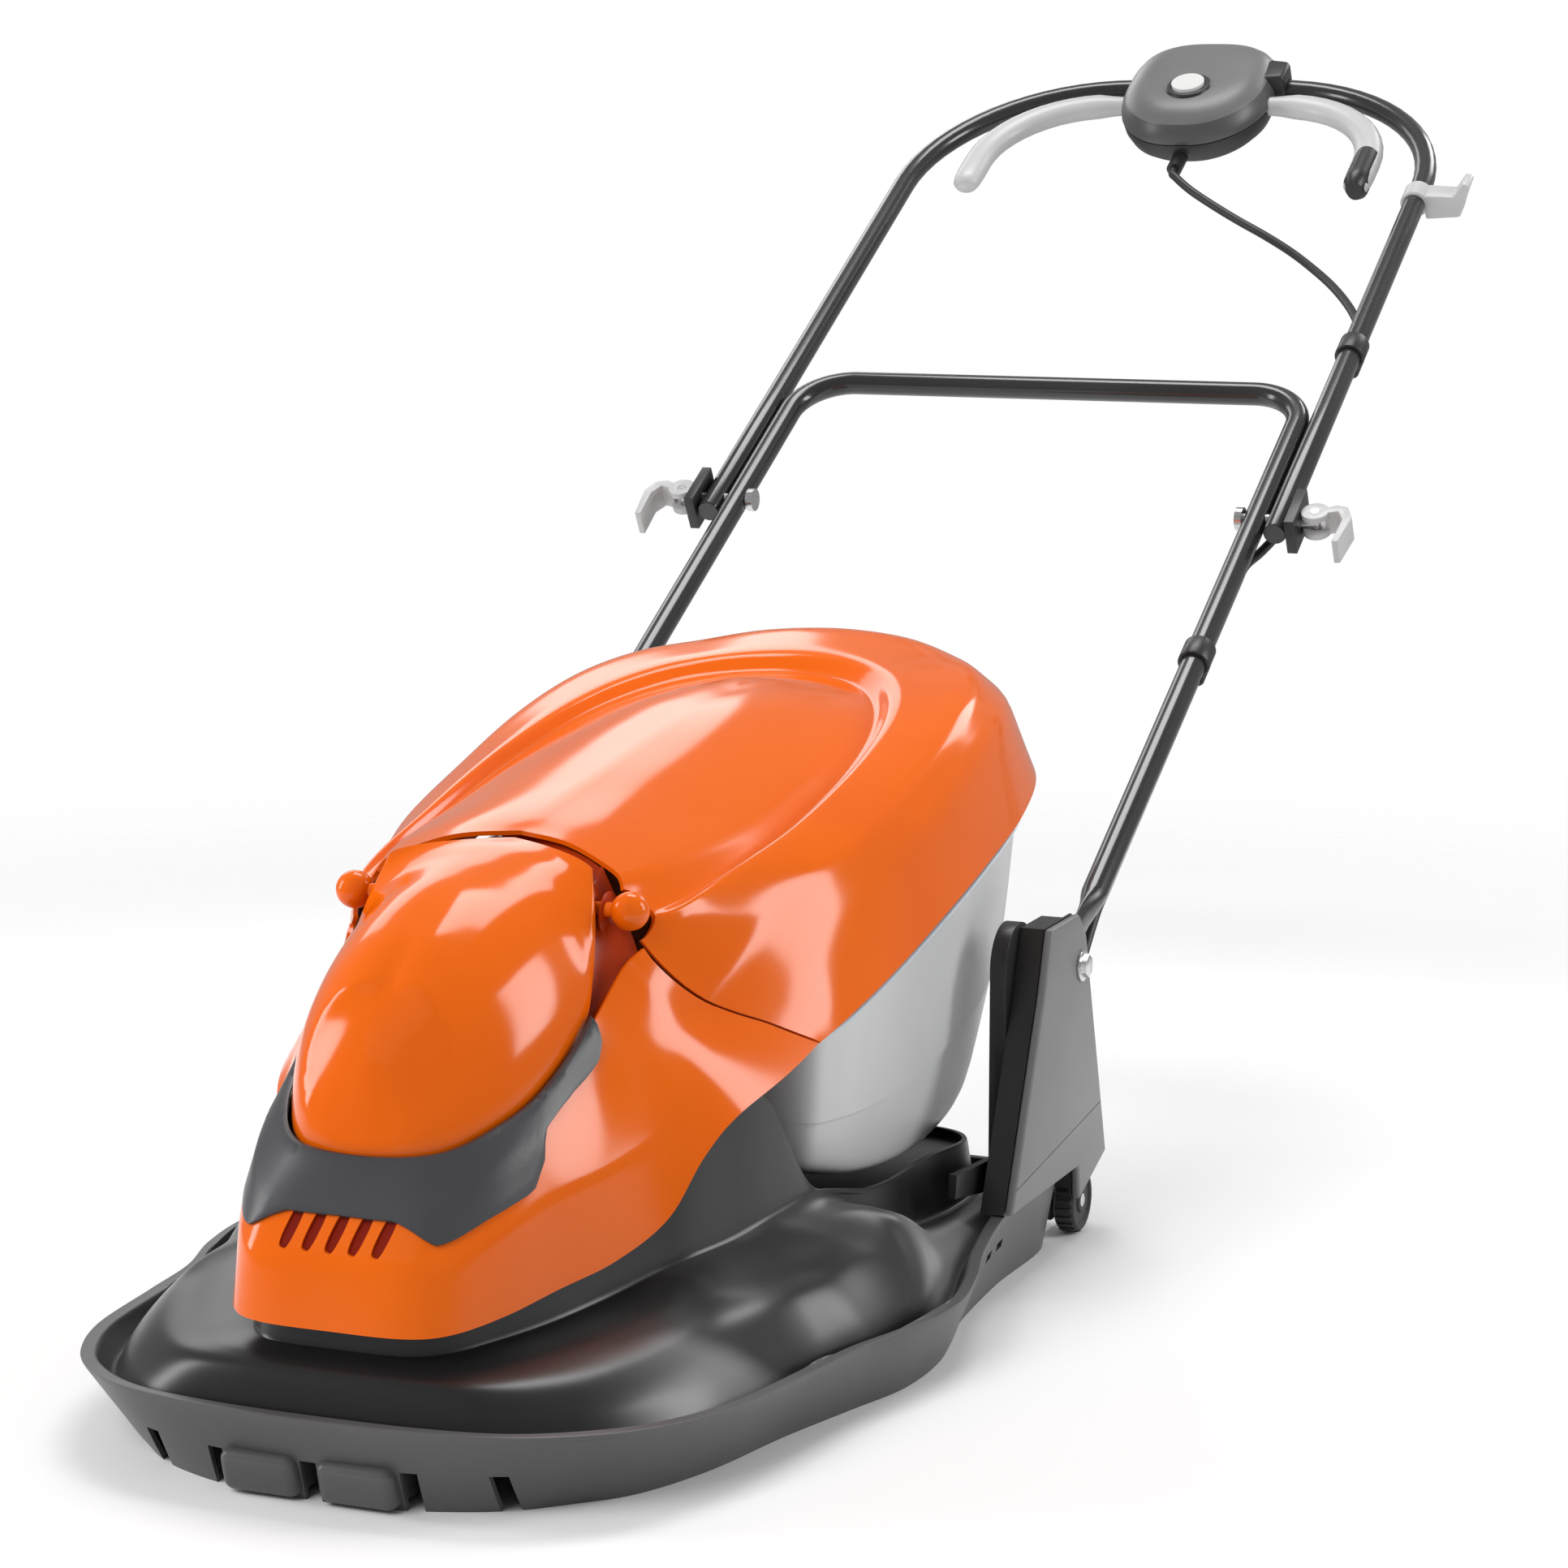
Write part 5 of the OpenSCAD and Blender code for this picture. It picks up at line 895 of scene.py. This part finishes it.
# floor of the deck over the blade, with its openings, and the skids that the box stands on
floor = {"z": 0.066, "wall": 0.0032, "cut": (0.056, 0.070), "shrink": (0.985, 0.99), "fromRow": 3, "rowsBack": 2,
         "shaftHole": 0.046, "screwRing": 0.056, "screwHole": 0.0051, "screws": 4, "screwSides": 20,
         "chuteHalf": 0.0894, "chute": (0.0976, 0.1188), "chuteDeep": 0.02}
skid = {"size": (0.014, 0.025, 0.0085), "edge": 0.0012, "at": (-0.06, 0.2725, 0.0673), "pitch": 0.12}
floorEdge = []
for column in deckNet.transpose(1, 0, 2):
    rising = column[floor["fromRow"] * deck["across"] - floor["rowsBack"]:]
    k = int(np.argmax(rising[:, 2] > floor["z"])) or len(rising) - 1
    floorEdge.append(rising[k][:2] * floor["shrink"])
floorPlate = extruded("floorPlate", floorEdge, (floor["z"] - floor["wall"], floor["z"]), topView)


def uprightCut(name, x, y, wide, sides=40):
    low, high = floor["cut"]
    return cylinderAlong(name, (x, y, low), (x, y, high), wide / 2, sides)


floorCuts = [uprightCut("shaftCut", 0, 0, floor["shaftHole"])]
for k in range(floor["screws"]):
    a = fullTurn * (k + 0.5) / floor["screws"]
    x, y = floor["screwRing"] * math.cos(a), floor["screwRing"] * math.sin(a)
    floorCuts.append(uprightCut("screwCut", x, y, floor["screwHole"], floor["screwSides"]))
chuteFront, chuteBack = floor["chute"]
floorCuts.append(block("chuteCut", (0, (chuteFront + chuteBack) / 2, floor["z"]),
                       (2 * floor["chuteHalf"], chuteBack - chuteFront, floor["chuteDeep"])))
cutWith(floorPlate, floorCuts)
finishPiece(floorPlate, "base", "deck_grey", looks=("humpGloss",))
skidShape = block("skidShape", (0, 0, 0), skid["size"])
bevelled(skidShape, skid["edge"], 2)
boxSkids = grown("boxSkids", rowOfShapes, {
    "Count": 2, "Start": skid["at"], "Step": (skid["pitch"], 0, 0), "Shape": skidShape,
    "Finish": finishes["humpGloss"]})
finishPiece(boxSkids, "base", "deck_grey", looks=("humpGloss",))
print("deck made")

# handle tubes: the lower ones pressed flat where they turn on the pivot bolts
tubes = {
    "round": 0.0165, "sides": 32, "bendSteps": 17, "lowerX": 0.192, "lugX": 0.191, "lugLong": 0.066,
    "lowerEnd": 0.622, "lowerBend": 0.040, "lowerAt": (.12, .3, .48), "upperX": 0.209, "upperEnd": 1.058,
    "upperBend": 0.150, "upperAt": (.451, .453, .6, .75), "upperFirst": 0.0150,
    "lug": [(-.0105, .004, .010), (-.0098, .0048, .014), (-.008, .005, .0175), (-.004, .005, .0208), (0, .005, .0215),
            (.036, .005, .0215), (.044, .0062, .021), (.052, .0098, .0195), (.060, .0142, .0175),
            (.066, .0165, .0165)]}


def halfBow(x, end, bendRadius, first):  # up one side, round the bend and to the middle
    path = list(first)
    for a in np.linspace(0, quarterTurn, tubes["bendSteps"]):
        path.append((x - bendRadius + bendRadius * math.cos(a), end - bendRadius + bendRadius * math.sin(a), 0))
    path.append((0, end, 0))
    return np.array(path)


lowerPath = [(tubes["lugX"] + (tubes["lowerX"] - tubes["lugX"]) * min(1, max(0, u / tubes["lugLong"])), u, 0)
             for u, _, _ in tubes["lug"]]
lowerPath += [(tubes["lowerX"], u, 0) for u in tubes["lowerAt"]]
upperPath = [(tubes["upperX"], u, 0) for u in tubes["upperAt"]]
for bodyName, path, sizes in (("lower", lowerPath, [row[1:] for row in tubes["lug"]]),
                              ("upper", upperPath, [(tubes["upperFirst"],) * 2])):
    half = halfBow(*(tubes[bodyName + k] for k in ("X", "End", "Bend")), path)
    sizes = sizes + [(tubes["round"],) * 2] * (len(half) - len(sizes))
    tube = tubeAlong(bodyName + "Tube", onHandle(over(half * mirror)), sizes + sizes[-2::-1], tubes["sides"], (1, 0, 0))
    finishPiece(tube, bodyName, "tube_paint", bodyName + "_handle", sharp=50)
print("tubes made")

# handle towers: a grey outer plate over a black core, and a rounded black post
tower = {
    "core": (0.183, 0.1975), "plate": (0.1975, 0.203), "inner": (0.181, 0.196), "bolt": (0.19, 0.21),
    "boltHole": 0.0081, "room": 0.072, "wheelAt": (0.428, 0.0202), "wheelRoom": 0.044, "roomSides": 64,
    "edge": 0.0022, "seamIn": (0.2023, 0.205), "postEdge": 0.0018, "boltEdge": 0.0007,
    "view": [(.285, .0463), (.408, .0463), (.410, .025), (.462, .044), (.418, .1885), (.405, .203), (.353, .203),
             (.340, .166)],
    "pocket": [(.300, .0535), (.412, .0535), (.418, .0335), (.456, .0485), (.413, .186), (.403, .1985), (.355, .1985),
               (.346, .166)],
    "seam": [(.280, .0585), (.470, .0800), (.470, .0806), (.280, .0591)]}


def acrossCut(name, reach, at, wide, sides=40):
    return cylinderAlong(name, (reach[0], *at), (reach[1], *at), wide / 2, sides)


for sideName, side in bothSides:
    core, plate, bolt, seam = ([side * x for x in tower[k]] for k in ("core", "plate", "bolt", "seamIn"))
    inner = sorted(side * x for x in tower["inner"])
    towerCore = extruded("towerCore" + sideName.capitalize(), tower["view"], core, sideView)
    cutWith(towerCore, [extruded("pocketCut", tower["pocket"], inner, sideView),
                        acrossCut("pivotCut", inner, handle["pivot"], tower["room"], tower["roomSides"]),
                        acrossCut("wheelCut", inner, tower["wheelAt"], tower["wheelRoom"], tower["roomSides"]),
                        acrossCut("boltCut", bolt, handle["pivot"], tower["boltHole"])])
    finishPiece(towerCore, "base", "black_plastic")
    towerPlate = extruded("towerPlate" + sideName.capitalize(), tower["view"], plate, sideView)
    bevelled(towerPlate, tower["edge"], 4, 20)
    cutWith(towerPlate, [acrossCut("boltCut", bolt, handle["pivot"], tower["boltHole"]),
                         extruded("seamCut", tower["seam"], seam, sideView)])
    finishPiece(towerPlate, "base", "deck_grey", "tower_cover_" + sideName, looks=("towerGrey",))
    softened("tower_post_" + sideName, tower["postEdge"], "base", "black_plastic", 3)
    softened("pivot_bolt_" + sideName, tower["boltEdge"], "base", "bright_steel")
print("towers made")

# rear wheels with treads
wheel = {"radius": 0.02, "half": 0.0065, "axle": 0.0041, "at": (0.1927, 0.428, 0.0202), "sides": 48, "dish": 0.0014,
         "hub": (0.003, 0.004), "rim": (0.004, 0.003, 0.0012), "treads": 22, "tread": 0.0011, "treadWide": 0.0026,
         "treadEdge": 0.0004}
tyreRound, tyreHalf, hub, rim = wheel["radius"] - wheel["tread"], wheel["half"], wheel["hub"], wheel["rim"]
tyreSide = [(wheel["axle"], -tyreHalf), (wheel["axle"] + hub[0], -tyreHalf),
            (wheel["axle"] + hub[1], wheel["dish"] - tyreHalf), (tyreRound - rim[0], wheel["dish"] - tyreHalf),
            (tyreRound - rim[1], -tyreHalf), (tyreRound - rim[2], -tyreHalf), (tyreRound, rim[2] - tyreHalf)]
tyreProfile = tyreSide + [(radius, -depth) for radius, depth in tyreSide[::-1]]
for sideName, side in bothSides:
    middle = (wheel["at"][0] * side, *wheel["at"][1:])
    tyre = spun("wheelTyre" + sideName.capitalize(), tyreProfile, middle, (1, 0, 0), wheel["sides"], True)
    finishPiece(tyre, "wheel_" + sideName, "wheel_black", "rear_wheel_" + sideName)
    treadShape = block("treadShape", (0, 0, 0),
                       (2 * wheel["tread"], wheel["treadWide"], 2 * tyreHalf - wheel["treadWide"]))
    bevelled(treadShape, wheel["treadEdge"], 1)
    treads = grown("wheelTreads" + sideName.capitalize(), ringOfShapes, {
        "Count": wheel["treads"], "Radius": tyreRound, "Centre": middle, "Turn": (0, quarterTurn, 0),
        "Shape": treadShape, "Finish": finishes["wheelBlack"]})
    finishPiece(treads, "wheel_" + sideName, "wheel_black")
print("wheels made")

# fold clamps, clips and cable hook
fittingEdge = {"clamp": 0.0022, "cam": 0.0016, "clip": 0.0008}
for sideName, _ in bothSides:
    softened("clamp_block_" + sideName, fittingEdge["clamp"], "upper", "black_plastic", 3)
    softened("cam_lever_" + sideName, fittingEdge["cam"], "cam_" + sideName, "pale_plastic", 3)
for bodyName in ("lower", "upper"):
    softened("clip_" + bodyName, fittingEdge["clip"], bodyName, "black_plastic")
hook = {"tube": 0.209, "reach": (0.884, 0.902), "sides": 40, "edge": 0.0018,
        "collar": [(.0084, 0), (.0098, 0), (.0108, .001), (.0108, .017), (.0098, .018), (.0084, .018)],
        "flag": [(.2165, -.013), (.2430, -.011), (.2470, .001), (.2530, .016), (.2470, .018), (.2390, .006),
                 (.2165, .0075)]}
collarFoot = onHandle([(hook["tube"], hook["reach"][0], 0)])[0]
collar = spun("hookCollar", hook["collar"], collarFoot, alongWay, hook["sides"], True)
finishPiece(collar, "upper", "pale_plastic", "cable_hook")
flag = ontoHandle(extruded("hookFlag", hook["flag"], hook["reach"], frontView))
bevelled(flag, hook["edge"], 3, 20)
finishPiece(flag, "upper", "pale_plastic")
print("clamps, clips and hook made")

# switch box
switch = {
    "travel": 0.004, "middle": 1.038, "half": (0.061, 0.069), "height": 0.054, "wall": 0.0026, "sides": 96,
    "narrow": 0.2, "narrowWay": 1.6, "square": 0.74, "squareTop": 0.62, "squareFoot": 0.8, "panelRow": 4,
    "inside": 0.02,
    "base": [(-.5, .3), (-.5, .52), (-.47, .66), (-.4, .8), (-.28, .92), (-.14, .975), (-.03, .99), (-.006, .985)],
    "cover": [(.006, .985), (.03, 1), (.1, .995), (.2, .97), (.3, .92), (.38, .85), (.43, .78), (.465, .7),
              (.485, .6), (.496, .45), (.5, .3)],
    "sideHoles": ((1.058, 0.00885), (1.032, 0.0078)), "sideReach": 0.1, "button": (1.017, 0.0133),
    "buttonCut": (0.005, 0.05), "inlet": (-0.03, 1.072, 0.0101), "inletCut": (-0.04, -0.005),
    "gland": (0.954, -0.0122, 0.0061), "glandLong": 0.026, "ring": (0.0136, 0.0185), "ringSink": 0.0006}
tab = {"outline": [(.050, 1.044), (.069, 1.046), (.069, 1.072), (.050, 1.076)], "reach": (-0.004, 0.019),
       "edge": 0.004, "cut": (0.03, 0.09)}


def switchRings(levels):
    rings = []
    for level, scale in levels:
        points = []
        for a in circle(switch["sides"]):
            c, q = math.cos(a), math.sin(a)
            x = rounded(c, switch["square"]) * switch["half"][0] * scale
            u = rounded(q, switch["squareTop" if q > 0 else "squareFoot"]) * switch["half"][1] * scale
            x *= 1 - switch["narrow"] * max(0, -q) ** switch["narrowWay"]
            points.append((x, switch["middle"] + u, level * switch["height"]))
        rings.append(onHandle(points))
    return np.array(rings)


def handleCut(name, start, end, radius, sides=48):
    return cylinderAlong(name, *onHandle([start, end]), radius, sides)


def sideHoles():
    reach = switch["sideReach"]
    return [handleCut("sideCut", (-reach, u, 0), (reach, u, 0), radius) for u, radius in switch["sideHoles"]]


coverRings = switchRings(switch["cover"])
lastRing = (len(coverRings) - 1) * switch["sides"]
switchTop = newPiece("switchTop", coverRings.reshape(-1, 3),
                     gridFaces(len(coverRings), switch["sides"], True) + [range(lastRing, lastRing + switch["sides"])])
switchLooks = ("switchGrey", "panelGrey")
for look in switchLooks:
    switchTop.data.materials.append(finishes[look])
panelFaces = [int(k // switch["sides"] >= switch["panelRow"]) for k in range(len(switchTop.data.polygons))]
switchTop.data.polygons.foreach_set("material_index", panelFaces)
tidyMesh(switchTop, onHandle([(0, switch["middle"], -switch["inside"])])[0])
thicken(switchTop, switch["wall"])
buttonU, buttonRound = switch["button"]
buttonLow, buttonHigh = switch["buttonCut"]
cutWith(switchTop, sideHoles() + [
    handleCut("buttonCut", (0, buttonU, buttonLow), (0, buttonU, buttonHigh), buttonRound)])
finishPiece(switchTop, "upper", "switch_grey", "switch_cover", sharp=50, looks=switchLooks)
baseRings = switchRings(switch["base"])
switchBelow = newPiece("switchBelow", baseRings.reshape(-1, 3),
                       gridFaces(len(baseRings), switch["sides"], True) + [range(switch["sides"])])
tidyMesh(switchBelow, onHandle([(0, switch["middle"], switch["inside"])])[0])
thicken(switchBelow, switch["wall"])
inletX, inletU, inletRound = switch["inlet"]
inletLow, inletHigh = switch["inletCut"]
glandU, glandV, glandRound = switch["gland"]
cutWith(switchBelow, sideHoles() + [
    handleCut("inletCut", (inletX, inletU, inletLow), (inletX, inletU, inletHigh), inletRound, 40),
    handleCut("glandCut", (0, glandU, glandV), (0, glandU + switch["glandLong"], glandV), glandRound, 32)])
finishPiece(switchBelow, "upper", "switch_grey", "switch_base", sharp=50, looks=("blackPlastic",))
ringIn, ringOut = switch["ring"]
ringFoot = onHandle([(0, buttonU, switch["height"] / 2 - switch["ringSink"])])[0]
ringProfile = [(ringIn, 0), (ringIn, 0.0016), (ringIn + 0.0012, 0.0024), (ringOut - 0.0016, 0.0022),
               (ringOut - 0.0004, 0.0012), (ringOut, 0)]
buttonRing = spun("buttonRing", ringProfile, ringFoot, upWay, 64, True)
finishPiece(buttonRing, "upper", "switch_grey", looks=("blackPlastic",))
tubeTab = ontoHandle(extruded("tubeTab", tab["outline"], tab["reach"], topView))
bevelled(tubeTab, tab["edge"], 4)
tubeU, tubeRound = switch["sideHoles"][0]
cutWith(tubeTab, [handleCut("tabCut", *((x, tubeU, 0) for x in tab["cut"]), tubeRound)])
finishPiece(tubeTab, "upper", "black_plastic")

# springs in the switch box
coil = {"Turns": 7.0, "Wire": 0.0007, "Finish": finishes["brightSteel"]}
buttonSpring = grown("buttonSpring", wireCoil, {
    **coil, "Radius": 0.0052, "Height": 0.0205, "Turn": (math.radians(handle["angle"]), 0, 0),
    "Centre": tuple(onHandle([(0, 1.017, 0.0025)])[0])})
finishPiece(buttonSpring, "upper", "bright_steel", "button_spring")
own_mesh(buttonSpring)
bailSpring = grown("bailSpring", wireCoil, {
    **coil, "Radius": 0.0086, "Height": 0.0112, "Turn": (0, quarterTurn, 0),
    "Centre": tuple(onHandle([(0.0224, 1.032, 0)])[0])})
finishPiece(bailSpring, "upper", "bright_steel", "bail_spring")

# bail lever: a round bar in the box, broad pale wings outside it
bail = {"u": 1.032, "x": 0.158, "bend": 0.088, "bendSteps": 13, "tip": 0.905, "bar": 0.015, "wing": (0.0185, 0.0225),
        "barAt": (0, .02, .035, .046, .054, .062), "widen": (0.062, 0.022), "tipAt": (.030, .020, .010, .004, .0015, 0),
        "taper": (0.96, 0.86, 0.7, 0.5), "sides": 28, "sleeve": (-0.0012, 0.046), "sleeveSizes": [
            (0.0125, 0.0165), (0.0196, 0.0237), *[(0.0198, 0.0239)] * 5, (0.0192, 0.0233)]}
bailHalf = [(x, bail["u"], 0) for x in bail["barAt"]]
for a in np.linspace(0, quarterTurn, bail["bendSteps"]):
    bailHalf.append((bail["x"] - bail["bend"] * (1 - math.sin(a)), bail["u"] - bail["bend"] * (1 - math.cos(a)), 0))
bailHalf = np.array(bailHalf + [(bail["x"], bail["tip"] + d, 0) for d in bail["tipAt"]])
bailRun = np.cumsum(np.r_[0, np.linalg.norm(np.diff(bailHalf, axis=0), axis=1)])
bailSizes = bail["bar"] + np.outer(risen(bailRun, *bail["widen"]), np.array(bail["wing"]) - bail["bar"])
bailSizes[-4:] *= np.array(bail["taper"])[:, None]
bailSizes = np.vstack([bailSizes[:0:-1], bailSizes])
bailWings = tubeAlong("bailWings", onHandle(bow(bailHalf)), bailSizes, bail["sides"], alongWay)
finishPiece(bailWings, "bail", "pale_plastic", "bail_lever", sharp=60)
# the last stretch of the right wing only is made black
sleeveAt = np.linspace(*bail["sleeve"], len(bail["sleeveSizes"]))
sleeveRoute = onHandle([(bail["x"], bail["tip"] + d, 0) for d in sleeveAt])
bailSleeve = tubeAlong("bailSleeve", sleeveRoute, bail["sleeveSizes"], bail["sides"])
finishPiece(bailSleeve, "bail", "black_plastic", sharp=60)
print("switch box and bail made")

# floor and lights
floorLook = {"radius": 3.2, "thick": 0.002, "middle": (0, 0.3, 0), "sides": 96, "fade": (0.8, 1.9), "rough": 0.8,
             "specular": 0.2, "tones": ((0.86, 0.86, 0.86), (0.90, 0.90, 0.90))}
floorProfile = [(floorLook["radius"], -floorLook["thick"]), (floorLook["radius"], 0)]
floorDisc = spun("studioFloor", floorProfile, floorLook["middle"], (0, 0, 1), floorLook["sides"])
floorMaterial, floorTree, floorShader = newMaterial("studioFloor")
tonesOn(floorTree, floorShader, noiseOn(floorTree, 0.6, 2), (0.3, 0.7), floorLook["tones"])
floorShader.inputs["Roughness"].default_value = floorLook["rough"]
floorShader.inputs["Specular IOR Level"].default_value = floorLook["specular"]
floorCoords = addNode(floorTree, "ShaderNodeTexCoord")  # the floor thins out into the white room
floorFlat = addNode(floorTree, "ShaderNodeMapping", {
    "Scale": (1, 1, 0), "Location": tuple(-x for x in floorLook["middle"])})
floorReach = addNode(floorTree, "ShaderNodeVectorMath")
floorReach.operation = "LENGTH"
floorFade = addNode(floorTree, "ShaderNodeMapRange", {
    "From Min": floorLook["fade"][0], "From Max": floorLook["fade"][1], "To Min": 1, "To Max": 0})
floorFade.interpolation_type = "SMOOTHSTEP"
wire(floorTree, (floorCoords, "Object", floorFlat, "Vector"), (floorFlat, "Vector", floorReach, 0),
     (floorReach, "Value", floorFade, "Value"), (floorFade, "Result", floorShader, "Alpha"))
floorDisc.data.materials.append(floorMaterial)

lamps = {  # where it stands, where it points, its size and power, and whether it shows in gloss
    "frontFill": ((-0.9, -2.3, 2.5), (0, 0.1, 0.15), (2.2, 1.6), 62, False),
    "leftBox": ((-2.3, -0.5, 0.95), (0, 0.1, 0.2), (0.6, 1.5), 22, True),
    "rightBox": ((2.3, 1.15, 1.25), (0, 0.1, 0.2), (0.7, 1.5), 30, True),
    "topBox": ((-0.2, 1.3, 2.6), (0, 0.25, 0.2), (1.4, 0.9), 28, True),
    "rearLeft": ((-1.9, 2.6, 1.7), (0, 0.3, 0.3), (1.9, 1.0), 13, True),
    "rearRight": ((0.75, 2.9, 1.75), (0, 0.3, 0.3), (0.8, 0.7), 9, True)}
for name, (at, to, size, power, shine) in lamps.items():
    lamp = bpy.data.lights.new(name, "AREA")
    lamp.shape = "RECTANGLE"
    lamp.size, lamp.size_y = size
    lamp.energy = power
    lampObject = addObject(name, lamp)
    lampObject.location = at
    lampObject.visible_camera = False
    lampObject.visible_glossy = shine
    lampObject.rotation_euler = (Vector(to) - Vector(at)).to_track_quat("-Z", "Y").to_euler()
room = {"seen": 1.0, "light": 0.34}  # the white room behind, and how much light it gives
studioWorld = bpy.data.worlds.new("studioWorld")
bpy.context.scene.world = studioWorld
studioWorld.use_nodes = True
roomTree = studioWorld.node_tree
roomShade = roomTree.nodes["Background"]
roomShade.inputs["Color"].default_value = (1, 1, 1, 1)
roomRay = addNode(roomTree, "ShaderNodeLightPath")
roomLevel = addNode(roomTree, "ShaderNodeMapRange", {"To Min": room["light"], "To Max": room["seen"]})
wire(roomTree, (roomRay, "Is Camera Ray", roomLevel, "Value"), (roomLevel, "Result", roomShade, "Strength"))
print("stage lit")
